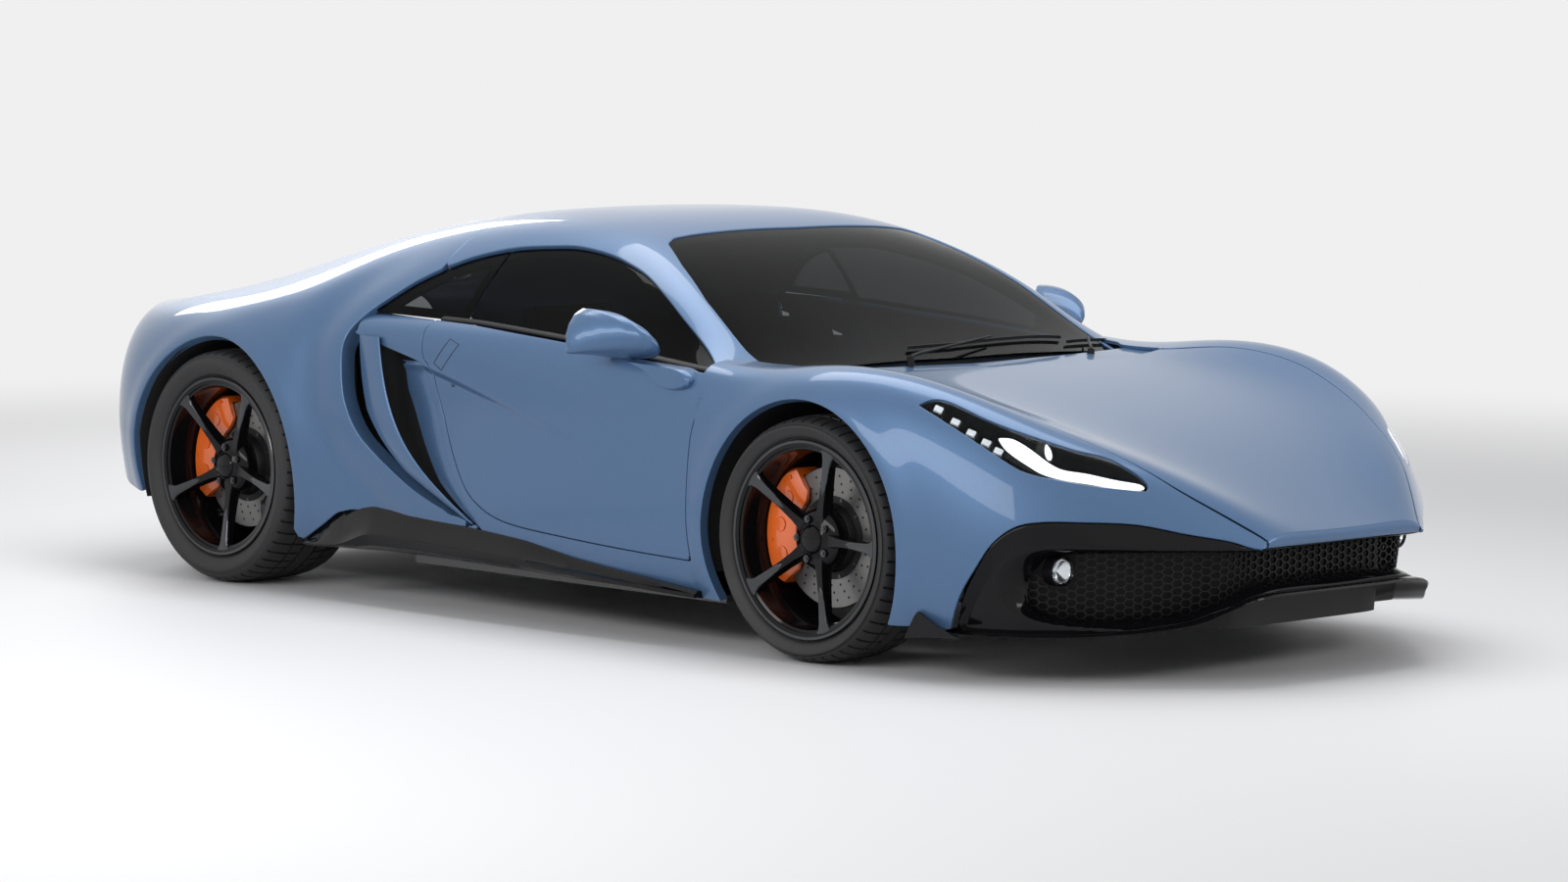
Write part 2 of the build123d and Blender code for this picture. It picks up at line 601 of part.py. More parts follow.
# Black skirts along the sills
skirt = seen_from_side(
    0, REACH, (R + 385, 160), (R + 478, 222), (R + 556, 270), (R + 671, 272), (R + 1119, 240), (F - 891, 199),
    (DOOR_FRONT_X + 10, 152), (DOOR_FRONT_X + 10, 122), (R + 560, 122))
skirt = skirt & box(R, F, 800, 932, 0, REACH)
skirt = skirt - hull - canopy - side_panel
save("side_skirts", skirt, other_side(skirt))

# Tub: floor, sills, bulkheads and the beams that carry both ends
SILL_INNER_Y = 745.0
TUB_FRONT_X = F - 385
FOOTWELL_HALF = 455.0
TUB_REAR_X = R + 760
floor_top = FLOOR_Z + FLOOR_THICKNESS
tub = box(TUB_REAR_X, TUB_FRONT_X, -798, 798, FLOOR_Z, floor_top)
tub = tub + box(TUB_REAR_X, TUB_REAR_X + 20, -690, 690, floor_top, 760)
tub = tub + box(TUB_FRONT_X - 20, TUB_FRONT_X, -690, 690, floor_top, 640)
BAY_REAR_X = F - 290
for side in (-1, 1):
    low, high = sorted((side * (SILL_INNER_Y - 75), side * (SILL_INNER_Y - 5)))
    tub = tub + box(TUB_REAR_X, TUB_FRONT_X, low, high, floor_top, floor_top + 160)
BAY_HALF = 415.0
tub = tub + box(TUB_FRONT_X, F + 760, -BAY_HALF, BAY_HALF, FLOOR_Z + 20, floor_top + 20)
tub = tub + box(R - 430, TUB_REAR_X, -BAY_HALF, BAY_HALF, FLOOR_Z, floor_top)
BAY_TOP_Z = 520.0
bay = box(BAY_REAR_X, F + 640, -BAY_HALF, BAY_HALF, floor_top + 20, BAY_TOP_Z)
bay = bay - box(BAY_REAR_X + 12, F + 628, -BAY_HALF + 12, BAY_HALF - 12, floor_top + 32, BAY_TOP_Z)
tub = tub + bay
save("tub", tub)

# Inner walls of the side intakes and liners over the four wheels
DUCT_WALL = 8.0
duct = seen_from_above(
    200, 770, (R + 1060, 812), (R + 1060, 812 - DUCT_WALL), (R + 390, 730 - DUCT_WALL), (R + 390, 730))
duct = duct & seen_from_side(
    0, REACH, (DOOR_REAR_X - 20, 770), (R + 390, 770), (R + 480, 300), (R + 1060, 240), (R + 1040, 330))
LINER = 5.0


def liner(axle_x, axle_z, radius, inner_y, outer_y):
    """A half drum over a wheel with a flat inner wall, open where the arms pass."""
    drum = across(axle_x, inner_y, outer_y, axle_z, radius) - across(
        axle_x, inner_y + LINER, outer_y, axle_z, radius - LINER)
    arms_gap = box(axle_x - 170, axle_x + 170, inner_y - 1, inner_y + LINER + 1, 0, axle_z + 190)
    return drum - arms_gap - box(axle_x - 500, axle_x + 500, 0, REACH, 0, axle_z - 120)


front_liner = liner(F, FRONT_TYRE_R, FRONT_ARCH_R + LOCK_ROOM, BAY_HALF + 10, 900)
rear_liner = liner(R, REAR_TYRE_R, REAR_ARCH_R - 1, 520, 930)
front_liner = (front_liner & hull_inside) - tub
rear_liner = (rear_liner & canopy_inside) - tub
duct = duct - rear_liner - roof_whole - canopy_skin - side_panel - vane
duct = duct & box(R, F, 700, REACH, 0, REACH)
lining = [front_liner, rear_liner, duct]
save("inner_liners", *lining, *[other_side(piece) for piece in lining])

# Cowl below the windscreen, with the two wiper arms
cowl_front = (lofted(HULL, 12.0, 60, 0, 0) - lofted(HULL, 22.0, 90, 0, -60)) & seen_from_above(
    500, REACH, (COWL_FRONT_X, -690), (F - 250, -690), (F - 225, 0), (F - 250, 690), (COWL_FRONT_X, 690))
save("cowl", cowl_front - front_body)

# Seats: a shaped shell each, with a cushion and a back
SEAT_Y = 345.0
SEAT_X = F - 1230
SEAT_HALF_WIDTH = 230.0
HEAD_HALF_WIDTH = 150.0
SHOULDER_Z = 640.0
seat_side = outline(
    lambda x, z: Vector(x, SEAT_Y - SEAT_HALF_WIDTH, z), (SEAT_X + 330, floor_top),
    (SEAT_X + 340, 300), (SEAT_X + 120, 250), (SEAT_X - 60, 270),
    ((SEAT_X - 150, 520), (SEAT_X - 255, 760)), (SEAT_X - 270, 860), (SEAT_X - 330, 850),
    ((SEAT_X - 270, 520), (SEAT_X - 215, 210)), (SEAT_X - 200, floor_top))
seat = Solid.extrude(seat_side, Vector(0, 2 * SEAT_HALF_WIDTH, 0))
for outer_y, head_y in [
        (SEAT_Y - SEAT_HALF_WIDTH - 10, SEAT_Y - HEAD_HALF_WIDTH),
        (SEAT_Y + HEAD_HALF_WIDTH, SEAT_Y + SEAT_HALF_WIDTH + 10)]:
    seat = seat - box(SEAT_X - 400, SEAT_X + 400, outer_y, head_y, SHOULDER_Z, REACH)
save("seats", seat, other_side(seat))

# Dashboard with the tunnel between the seats
dash_side = outline(
    lambda x, z: Vector(x, -660, z), (TUB_FRONT_X - 20, 645), (TUB_FRONT_X - 40, 690), (F - 520, 725),
    (F - 610, 700), (F - 620, 600), (F - 520, 480), (TUB_FRONT_X - 20, 460))
dash = Solid.extrude(dash_side, Vector(0, 1320, 0)) & canopy_inside
tunnel = seen_from_side(
    -90, 90, (TUB_FRONT_X - 20, floor_top), (TUB_FRONT_X - 20, 470), (F - 560, 490), (F - 900, 360),
    (TUB_REAR_X + 20, 340), (TUB_REAR_X + 20, floor_top))
save("dashboard", (dash + tunnel) - roof_whole)

# Steering wheel on the right-hand side
WHEEL_CENTRE = (F - 700, -SEAT_Y, 640)
COLUMN_DIRECTION = (-0.93, 0, 0.37)
column = Plane(origin=WHEEL_CENTRE, z_dir=COLUMN_DIRECTION)
grip = outline(
    lambda r, h: column.from_local_coords((r, 0, h)), (165, 0), (178, 14), (191, 0), (178, -14))
steering = Solid.revolve(grip, 360, Axis(WHEEL_CENTRE, COLUMN_DIRECTION))
steering = steering + Solid.make_cylinder(52, 26, column.offset(-30))
for turn in (0, 135, 225):
    spoke = Solid.make_box(150, 26, 12, Plane(origin=(30, -13, -22)))
    steering = steering + column.location * (Rotation(0, 0, turn + 90) * spoke)
save("steering_wheel", steering)

# Engine and gearbox as one closed block
engine = box(R + 140, R + 700, -330, 330, floor_top, 640)
engine = engine + box(R - 330, R + 140, -190, 190, floor_top + 40, 480)
save("engine_block", engine)


# Wheels
CROWN_THICKNESS = 16.0


def tyre(axle_x, axle_z, radius, width, face_y):
    """A hollow tyre turned about the axle: its sidewalls bulge and its shoulders slope to the tread."""
    bead = RIM_R + 1
    lip = RIM_R + FLANGE_HEIGHT + 3
    outer = face_y
    inner = face_y - width
    wall = (lip + radius) / 2
    place = lambda r, y: Vector(axle_x + r, y, axle_z)
    section = outline(
        place, (bead, inner + 40), (lip, inner + 34), (wall, inner), (radius - 9, inner + 18),
        (radius, inner + 40), (radius, outer - 40), (radius - 9, outer - 18), (wall, outer),
        (lip, outer - 26), (bead, outer - 30), (bead, outer - 42), (radius - CROWN_THICKNESS, outer - 42),
        (radius - CROWN_THICKNESS, inner + 52), (bead, inner + 52))
    return Solid.revolve(section, 360, Axis((axle_x, 0, axle_z), (0, 1, 0)))


SPOKE = [
    # radius, half width, face behind the rim's edge, thickness
    (74, 18, 40, 36),
    (130, 12, 28, 30),
    (190, 13, 16, 26),
    (247, 22, 6, 20),
]
HUB_R = 84.0
HUB_DEPTH = 88.0
RIM_BEHIND_TYRE = 14.0


def rim(axle_x, axle_z, width, face_y, first_spoke):
    """A barrel with flanges, a hub and five tapering spokes that curve in to the hub."""
    outer = face_y - RIM_BEHIND_TYRE
    inner = face_y - width + 24
    place = lambda r, y: Vector(axle_x + r, y, axle_z)
    axis = Axis((axle_x, 0, axle_z), (0, 1, 0))
    barrel = outline(
        place, (RIM_R + FLANGE_HEIGHT, outer), (RIM_R, outer - 14), (RIM_R - 18, outer - 60),
        (RIM_R, inner + 14), (RIM_R + FLANGE_HEIGHT, inner), (RIM_R - RIM_WALL, inner),
        (RIM_R - 18 - RIM_WALL, outer - 60), (RIM_R - RIM_WALL, outer))
    wheel = Solid.revolve(barrel, 360, axis)
    back = outer - HUB_DEPTH
    hub = outline(place, (34, outer - 30), (62, outer - 34), (HUB_R, outer - 48), (HUB_R, back), (34, back))
    wheel = wheel + Solid.revolve(hub, 360, axis)
    for number in range(SPOKES):
        angle = 360 / SPOKES * number - first_spoke
        rings = []
        for r, half_width, top, depth in SPOKE:
            rings.append(Wire.make_polygon([
                (r, -half_width, outer - top - depth), (r, -half_width * 0.7, outer - top),
                (r, half_width * 0.7, outer - top), (r, half_width, outer - top - depth)], close=True))
        spoke = Solid.make_loft(rings, ruled=True)
        spoke = Location((axle_x, 0, axle_z)) * (Rotation(0, angle, 0) * (Rotation(-90, 0, 0) * spoke))
        wheel = wheel + spoke
    return wheel


def disc(axle_x, axle_z, face_y, depth):
    """A vented disc on its bell, mounted against the back of the hub."""
    back = face_y - RIM_BEHIND_TYRE - HUB_DEPTH
    place = lambda r, y: Vector(axle_x + r, y, axle_z)
    section = outline(
        place, (34, back), (HUB_R, back), (HUB_R, back - depth + DISC_THICKNESS),
        (DISC_R, back - depth + DISC_THICKNESS), (DISC_R, back - depth), (72, back - depth), (34, back - 10))
    return Solid.revolve(section, 360, Axis((axle_x, 0, axle_z), (0, 1, 0)))


PAD_GAP = 5.0


def caliper(axle_x, axle_z, face_y, depth, first, last):
    """A block bridging the disc's edge between two angles about the axle."""
    disc_back = face_y - RIM_BEHIND_TYRE - HUB_DEPTH - depth
    disc_front = disc_back + DISC_THICKNESS
    place = lambda r, y: Vector(axle_x + r, y, axle_z)
    section = outline(
        place, (105, disc_back - 38), (DISC_R + 26, disc_back - 38), (DISC_R + 26, disc_front + 28),
        (115, disc_front + 28), (115, disc_front + PAD_GAP), (DISC_R + PAD_GAP, disc_front + PAD_GAP),
        (DISC_R + PAD_GAP, disc_back - PAD_GAP), (105, disc_back - PAD_GAP))
    block = Solid.revolve(section, last - first, Axis((axle_x, 0, axle_z), (0, 1, 0)))
    return Location((axle_x, 0, axle_z)) * (Rotation(0, first, 0) * (Location((-axle_x, 0, -axle_z)) * block))


WHEELS = [
    # name, axle x, tyre radius, tyre width, outer face, disc depth behind the hub, angle of the first spoke
    ("front", F, FRONT_TYRE_R, FRONT_TYRE_WIDTH, FRONT_TYRE_FACE_Y, FRONT_DISC_DEPTH, -1),
    ("rear", R, REAR_TYRE_R, REAR_TYRE_WIDTH, REAR_TYRE_FACE_Y, REAR_DISC_DEPTH, -13),
]
FRONT_CALIPER = (141, 235)
REAR_CALIPER = (148, 250)
for name, axle_x, radius, width, face_y, depth, first_spoke in WHEELS:
    parts = {
        "tyre": tyre(axle_x, radius, radius, width, face_y),
        "rim": rim(axle_x, radius, width, face_y, first_spoke),
        "disc": disc(axle_x, radius, face_y, depth)}
    for kind, shape in parts.items():
        save(f"{kind}_{name}_left", shape)
        save(f"{kind}_{name}_right", other_side(shape))

# Front knuckles: an upright with its spindle, two ball ends and the caliper's seat
front_hub_back = FRONT_TYRE_FACE_Y - RIM_BEHIND_TYRE - HUB_DEPTH
spindle = across(F, KINGPIN_Y - 20, front_hub_back + 50, FRONT_TYRE_R, 30)
upright = box(F - 32, F + 32, KINGPIN_Y - 25, KINGPIN_Y + 22, FRONT_TYRE_R - 150, FRONT_TYRE_R + 150)
upright = upright + spindle
knuckle = upright + box(F - 150, F - 30, KINGPIN_Y - 25, KINGPIN_Y + 2, FRONT_TYRE_R - 40, FRONT_TYRE_R + 60)
save("knuckle_left", knuckle)
save("knuckle_right", other_side(knuckle))
front_caliper = caliper(F, FRONT_TYRE_R, FRONT_TYRE_FACE_Y, FRONT_DISC_DEPTH, *FRONT_CALIPER) - knuckle
save("caliper_front_left", front_caliper)
save("caliper_front_right", other_side(front_caliper))

# Rear uprights, fixed, with the rear calipers
rear_hub_back = REAR_TYRE_FACE_Y - RIM_BEHIND_TYRE - HUB_DEPTH
rear_upright = across(R, 700, rear_hub_back + 50, REAR_TYRE_R, 30)
rear_upright = rear_upright + box(R - 40, R + 40, 700, 745, REAR_TYRE_R - 150, REAR_TYRE_R + 150)
rear_upright = rear_upright + box(R - 150, R - 40, 715, 745, REAR_TYRE_R - 40, REAR_TYRE_R + 60)
rear_caliper = caliper(R, REAR_TYRE_R, REAR_TYRE_FACE_Y, REAR_DISC_DEPTH, *REAR_CALIPER) - rear_upright
save("calipers_rear", rear_caliper, other_side(rear_caliper))


# Suspension: upper and lower wishbones, fused at the rear with their fixed uprights
def wishbone(axle_x, inner_y, spread, outer_y, z, height):
    """Two box-section arms that run together at the upright, cut from one flat plate."""
    half = height * 0.7
    arms = outline(
        lambda x, y: Vector(axle_x + x, y, z - height / 2), (spread - half, inner_y),
        (spread + half, inner_y), (2 * half, outer_y), (-2 * half, outer_y), (-spread - half, inner_y),
        (-spread + half, inner_y), (-half, outer_y - 4 * half), (half, outer_y - 4 * half))
    return Solid.extrude(arms, Vector(0, 0, height))


front_arms = None
for z in (FRONT_TYRE_R - 166, FRONT_TYRE_R + 166):
    arm = wishbone(F, BAY_HALF, 130, KINGPIN_Y, z, 22)
    arm = arm + Solid.make_cylinder(20, 22, Plane(origin=(F, KINGPIN_Y, z - 11)))
    front_arms = arm if front_arms is None else Compound(children=[front_arms, arm])
front_arm_pair = [arm - knuckle - tub for arm in front_arms.solids()]
rear_whole = rear_upright
for z in (REAR_TYRE_R - 140, REAR_TYRE_R + 130):
    rear_whole = rear_whole + wishbone(R, 335, 150, 715, z, 26)
rear_whole = rear_whole - engine - tub
left_arms = [*front_arm_pair, rear_whole]
save("suspension", *left_arms, *[other_side(arm) for arm in left_arms])
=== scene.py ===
import bmesh
import bpy
import numpy as np
from mathutils import Matrix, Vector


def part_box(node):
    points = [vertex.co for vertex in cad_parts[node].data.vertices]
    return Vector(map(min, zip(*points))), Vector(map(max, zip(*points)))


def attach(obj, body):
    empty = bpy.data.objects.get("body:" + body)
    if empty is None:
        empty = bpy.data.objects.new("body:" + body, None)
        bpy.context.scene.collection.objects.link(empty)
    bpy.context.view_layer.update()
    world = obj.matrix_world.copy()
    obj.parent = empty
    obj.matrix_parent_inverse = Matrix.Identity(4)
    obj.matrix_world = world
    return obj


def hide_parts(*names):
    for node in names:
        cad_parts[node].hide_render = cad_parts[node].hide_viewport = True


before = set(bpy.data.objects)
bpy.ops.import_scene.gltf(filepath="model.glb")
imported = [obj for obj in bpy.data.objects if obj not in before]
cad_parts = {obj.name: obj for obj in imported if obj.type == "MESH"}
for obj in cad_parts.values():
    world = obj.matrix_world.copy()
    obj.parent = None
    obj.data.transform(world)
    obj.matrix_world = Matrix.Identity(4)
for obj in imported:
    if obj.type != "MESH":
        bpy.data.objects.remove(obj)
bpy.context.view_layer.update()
front_low, front_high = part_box("tyre_front_left")
rear_low, rear_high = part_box("tyre_rear_left")
# X of the front and rear axles, which stand as high as their tyres' radii
f, r = (front_low.x + front_high.x) / 2, (rear_low.x + rear_high.x) / 2
front_tyre_r, rear_tyre_r = (front_high.z - front_low.z) / 2, (rear_high.z - rear_low.z) / 2


# The studio: a pale floor under soft light.
# A wide lamp overhead and one on each side wrap the body, and the world fills the shadows.
def put(node, **values):
    """Values of a node's inputs. An underscore stands for a space in an input's name."""
    for name, value in values.items():
        node.inputs[name.replace("_", " ")].default_value = value


def add(tree, kind, *sources, **values):
    """A new node: its first inputs are joined to the sources in order, and others are set to values."""
    node = tree.nodes.new("ShaderNode" + kind)
    put(node, **values)
    for number, source in enumerate(sources):
        tree.links.new(source, node.inputs[number])
    return node


def node_material(name, **values):
    """A material, its node tree, and its shader with the given values."""
    material = bpy.data.materials.new(name)
    material.use_nodes = True
    shader = material.node_tree.nodes["Principled BSDF"]
    put(shader, **values)
    return material, material.node_tree, shader


def linked(name, mesh, material):
    """The object of a mesh in one material."""
    mesh.materials.append(material)
    piece = bpy.data.objects.new(name, mesh)
    bpy.context.scene.collection.objects.link(piece)
    return piece


backdrop_grey = (0.87, 0.87, 0.87, 1)
floor_paint, tree, shader = node_material("studio_floor", Base_Color=(0.74, 0.74, 0.75, 1), Roughness=0.6)
far = add(tree, "VectorMath", add(tree, "TexCoord").outputs["Object"])
far.operation = "LENGTH"
fade = add(tree, "MapRange", far.outputs["Value"], From_Min=3.5, From_Max=9.0)
fade.interpolation_type = "SMOOTHSTEP"
pale = add(tree, "Emission", Color=backdrop_grey)
blend = add(tree, "MixShader", fade.outputs["Result"], shader.outputs["BSDF"], pale.outputs["Emission"])
tree.links.new(blend.outputs["Shader"], tree.nodes["Material Output"].inputs["Surface"])
floor_mesh = bpy.data.meshes.new("studio_floor")
floor_mesh.from_pydata([(-60, -60, 0), (60, -60, 0), (60, 60, 0), (-60, 60, 0)], [], [(0, 1, 2, 3)])
linked("studio_floor", floor_mesh, floor_paint)

world = bpy.data.worlds.new("studio")
bpy.context.scene.world = world
world.use_nodes = True
tree = world.node_tree
sky = tree.nodes["Background"]
put(sky, Color=(0.86, 0.87, 0.89, 1), Strength=0.48)
backdrop = add(tree, "Background", Color=backdrop_grey)
ray = add(tree, "LightPath").outputs
direct = add(tree, "Math", ray["Is Camera Ray"], ray["Is Transmission Ray"])
direct.operation = "MAXIMUM"
any_ray = add(tree, "Math", direct.outputs[0], ray["Is Glossy Ray"])
any_ray.operation = "MAXIMUM"
choice = add(
    tree, "MixShader", any_ray.outputs[0], sky.outputs["Background"], backdrop.outputs["Background"])
tree.links.new(choice.outputs["Shader"], tree.nodes["World Output"].inputs["Surface"])

lamps = [
    # name, place, turn in radians, sides, power
    ("top_lamp", (0.0, 0.0, 4.2), (0, 0, 0), (5.5, 2.2), 150),
    ("side_lamp", (1.0, -5.5, 2.6), (1.15, 0, 0.1), (6.0, 1.2), 130),
    ("front_lamp", (6.0, 1.5, 2.6), (1.2, 0, 1.7), (3.5, 1.0), 60),
    ("rear_lamp", (-5.5, 2.0, 2.8), (-1.1, 0, 1.6), (3.0, 1.0), 60),
]
for name, place, turn, size, power in lamps:
    lamp = bpy.data.lights.new(name, "AREA")
    lamp.shape = "RECTANGLE"
    lamp.size, lamp.size_y = size
    lamp.energy = power
    holder = bpy.data.objects.new(name, lamp)
    holder.location = place
    holder.rotation_euler = turn
    bpy.context.scene.collection.objects.link(holder)

camera_place = (10.345, -10.21, 1.78)
heading, pitch, roll = np.radians([135.14, -5.15, 0.5])
sight = np.array([np.cos(pitch) * np.cos(heading), np.cos(pitch) * np.sin(heading), np.sin(pitch)])
level = np.cross(sight, [0, 0, 1])
level /= np.linalg.norm(level)
upward = np.cross(level, sight)
right = np.cos(roll) * level + np.sin(roll) * upward
above = np.cos(roll) * upward - np.sin(roll) * level
view = np.eye(4)
view[:3] = np.stack([right, above, -sight, camera_place], 1)
camera = bpy.data.objects.new("camera", bpy.data.cameras.new("camera"))
camera.matrix_world = Matrix(view.tolist())
camera.data.lens = 114.55
camera.data.sensor_width = 36
camera.data.clip_end = 100
bpy.context.scene.collection.objects.link(camera)
bpy.context.scene.camera = camera
bpy.context.scene.view_settings.view_transform = "Standard"


# Body paint: a solid blue base with fine metal flake under clear lacquer, sprayed on moulded panels.
# The flake shifts the colour a little, and the lacquer has a faint ripple.
def toned(name, kind, scale, dark, light, **values):
    """A material whose colour runs from dark to light by a texture, with its tree, shader and texture."""
    material, tree, shader = node_material(name, **values)
    pattern = add(tree, kind, add(tree, "TexCoord").outputs["Object"], Scale=scale)
    mix = add(tree, "Mix")
    mix.data_type = "RGBA"
    put(mix, A=(*dark, 1), B=(*light, 1))
    tree.links.new(pattern.outputs["Color" if kind == "TexVoronoi" else "Fac"], mix.inputs["Factor"])
    tree.links.new(mix.outputs["Result"], shader.inputs["Base Color"])
    return material, tree, shader, pattern


def grained(tree, shader, scale, strength, normal="Normal"):
    """A fine raised grain on a material, or on its coat."""
    grain = add(tree, "TexNoise", add(tree, "TexCoord").outputs["Object"], Scale=scale)
    raised = add(tree, "Bump", Strength=strength, Distance=0.001)
    tree.links.new(grain.outputs["Fac"], raised.inputs["Height"])
    tree.links.new(raised.outputs["Normal"], shader.inputs[normal])


blue_paint, tree, shader = toned(
    "blue_paint", "TexVoronoi", 1400, (0.060, 0.122, 0.235), (0.088, 0.165, 0.300), Metallic=0.35,
    Roughness=0.40, Specular_IOR_Level=0.2, Coat_Weight=0.8, Coat_IOR=1.32, Coat_Roughness=0.03)[:3]
grained(tree, shader, 260, 0.012, "Coat Normal")

# Sections of the body, one row each: millimetres ahead of the front axle, then half width and height of nine
# points from the sill up to the centre line. The hull is the nose, wings, bonnet and doors.
hull_rows = np.array([
    # ahead, sill, rocker, side, waist, shoulder, crest, slope, bonnet, centre
    (-2355, 840, 150, 870, 260, 850, 420, 835, 600, 865, 740, 850, 840, 700, 840, 350, 840, 0, 840),
    (-1855, 870, 150, 900, 260, 860, 420, 835, 600, 880, 720, 890, 835, 700, 860, 350, 860, 0, 860),
    (-1355, 880, 150, 905, 260, 885, 430, 865, 600, 885, 720, 880, 835, 700, 850, 350, 850, 0, 850),
    (-755, 880, 145, 905, 260, 895, 430, 880, 600, 885, 710, 860, 815, 700, 820, 350, 820, 0, 820),
    (-355, 875, 140, 905, 260, 905, 430, 895, 600, 885, 700, 840, 780, 680, 775, 350, 775, 0, 772),
    (0, 890, 140, 915, 280, 925, 450, 925, 620, 890, 772, 770, 806, 600, 736, 350, 735, 0, 732),
    (395, 885, 140, 915, 260, 920, 400, 905, 580, 850, 732, 740, 772, 600, 690, 350, 668, 0, 665),
    (695, 790, 150, 810, 240, 815, 340, 790, 460, 730, 600, 640, 655, 500, 620, 300, 585, 0, 580),
    (925, 560, 160, 590, 230, 600, 310, 590, 380, 560, 450, 480, 538, 380, 525, 220, 490, 0, 485),
    (1115, 330, 180, 340, 210, 345, 280, 345, 330, 340, 360, 300, 395, 220, 400, 120, 395, 0, 390)])
# The canopy is the screen, roof, quarters, deck and tail.
canopy_rows = np.array([
    # ahead, low, lower, middle, upper, waist, cant, edge, roof, centre
    (-105, 900, 500, 880, 560, 860, 620, 830, 660, 790, 680, 720, 690, 560, 695, 300, 700, 0, 700),
    (-355, 900, 560, 880, 640, 865, 700, 835, 735, 790, 755, 710, 765, 580, 785, 300, 810, 0, 815),
    (-635, 900, 560, 885, 640, 870, 710, 825, 780, 760, 850, 700, 925, 560, 945, 300, 965, 0, 970),
    (-935, 900, 560, 885, 640, 870, 720, 810, 820, 720, 930, 620, 1045, 480, 1085, 250, 1105, 0, 1108),
    (-1305, 892, 150, 905, 300, 875, 730, 805, 850, 700, 985, 590, 1090, 450, 1130, 220, 1148, 0, 1150),
    (-1655, 885, 150, 925, 330, 910, 700, 840, 850, 740, 970, 600, 1078, 440, 1118, 220, 1135, 0, 1137),
    (-2005, 905, 150, 958, 340, 965, 610, 910, 790, 800, 915, 640, 1015, 450, 1070, 220, 1092, 0, 1095),
    (-2440, 935, 260, 965, 400, 975, 580, 945, 745, 840, 845, 680, 895, 480, 962, 230, 1000, 0, 1008),
    (-2805, 915, 250, 950, 380, 950, 540, 905, 710, 805, 805, 670, 845, 500, 856, 250, 880, 0, 888),
    (-3055, 800, 280, 825, 400, 830, 530, 800, 670, 735, 765, 640, 808, 480, 815, 250, 815, 0, 815),
    (-3225, 630, 330, 645, 420, 650, 530, 635, 660, 600, 745, 540, 795, 420, 800, 220, 800, 0, 800)])


def net(rows):
    """A section table in metres as two arrays: places along the car in order, and their points' Y and Z."""
    rows = rows[np.argsort(rows[:, 0])] / 1000
    values = rows[:, 1:].reshape(len(rows), 9, 2)
    values[:, -1, 1] = values[:, -2, 1]
    return f + rows[:, 0], values


def sections(table, x):
    """Each point's curve along the car: the natural cubic spline through its places, read at x."""
    places, values = table
    span = np.diff(places)
    size = len(places)
    system = np.eye(size)
    pull = np.zeros(values.shape)
    inner = np.arange(1, size - 1)
    system[inner, inner - 1] = span[:-1]
    system[inner, inner] = 2 * (span[:-1] + span[1:])
    system[inner, inner + 1] = span[1:]
    slopes = np.diff(values, axis=0) / span[:, None, None]
    pull[1:-1] = 6 * np.diff(slopes, axis=0)
    bend = np.linalg.solve(system, pull.reshape(size, -1)).reshape(values.shape)
    cell = np.clip(np.searchsorted(places, x) - 1, 0, size - 2)
    near = ((places[cell + 1] - x) / span[cell])[:, None, None]
    far = 1 - near
    square = (span[cell] ** 2)[:, None, None] / 6
    return (near * values[cell] + far * values[cell + 1]
            + ((near ** 3 - near) * bend[cell] + (far ** 3 - far) * bend[cell + 1]) * square)


def weights(count, t):
    """Shares of count control points at t, from 0 to 1: the clamped even cubic B-spline."""
    knots = np.concatenate([np.zeros(3), np.linspace(0, 1, count - 2), np.ones(3)])
    t = np.clip(t, 0, 1 - 1e-12)[:, None]
    share = ((t >= knots[:-1]) & (t < knots[1:])).astype(float)
    for degree in (1, 2, 3):
        start, end = knots[:-degree - 1], knots[degree + 1:]
        rise, fall = knots[degree:-1] - start, end - knots[1:-degree]
        rising = np.where(rise > 0, (t - start) / np.where(rise > 0, rise, 1), 0)
        falling = np.where(fall > 0, (end - t) / np.where(fall > 0, fall, 1), 0)
        share = rising * share[:, :-1] + falling * share[:, 1:]
    return share


def skin(table, x, t):
    """The left half of a surface at places x along the car and t from the sill, 0, to the centre line, 1."""
    section = sections(table, x)
    across = np.einsum("ij,mjk->mik", weights(section.shape[1], t), section)
    along = np.broadcast_to(x[:, None, None], across.shape[:2] + (1,))
    return np.concatenate([along, across], axis=2)


def outward(points):
    """Unit normals of a grid: the cross product of its differences across and along."""
    normal = np.cross(np.gradient(points, axis=1), np.gradient(points, axis=0))
    return normal / np.maximum(np.linalg.norm(normal, axis=2, keepdims=True), 1e-9)


def curve(*points, per_span=12):
    """A smooth line through flat points: the Catmull-Rom curve. A point given twice is a sharp corner."""
    runs = [[points[0]]]
    for point in points[1:]:
        if point == runs[-1][-1]:
            runs.append([])
        runs[-1].append(point)
    s = np.linspace(0, 1, per_span, endpoint=False)[None, :, None]
    pieces = []
    for run in runs:
        p = np.array([run[0]] + run + [run[-1]], float)
        a, b, c, d = (p[i:len(p) - 3 + i][:, None] for i in range(4))
        smooth = b + 0.5 * s * (c - a) + s ** 2 * (a - 2.5 * b + 2 * c - 0.5 * d)
        smooth = smooth + 0.5 * s ** 3 * (3 * b - 3 * c + d - a)
        pieces += [smooth.reshape(-1, 2), p[-1:]]
    return np.concatenate(pieces)


def ahead(rows, rear=-1000):
    """A table in metres from one in millimetres, whose first column is X ahead of the front axle.

    Places behind rear keep their distance from the rear axle, 2440 mm behind the front one."""
    table = np.array(rows) / 1000
    x = table[:, 0]
    table[:, 0] = np.where(x < rear / 1000, r + 2.440 + x, f + x)
    return table


def outline(*points, per_span=12, rear=-1000):
    """The curve through points in millimetres, with X counted as in a table."""
    return curve(*map(tuple, ahead(points, rear)), per_span=per_span)


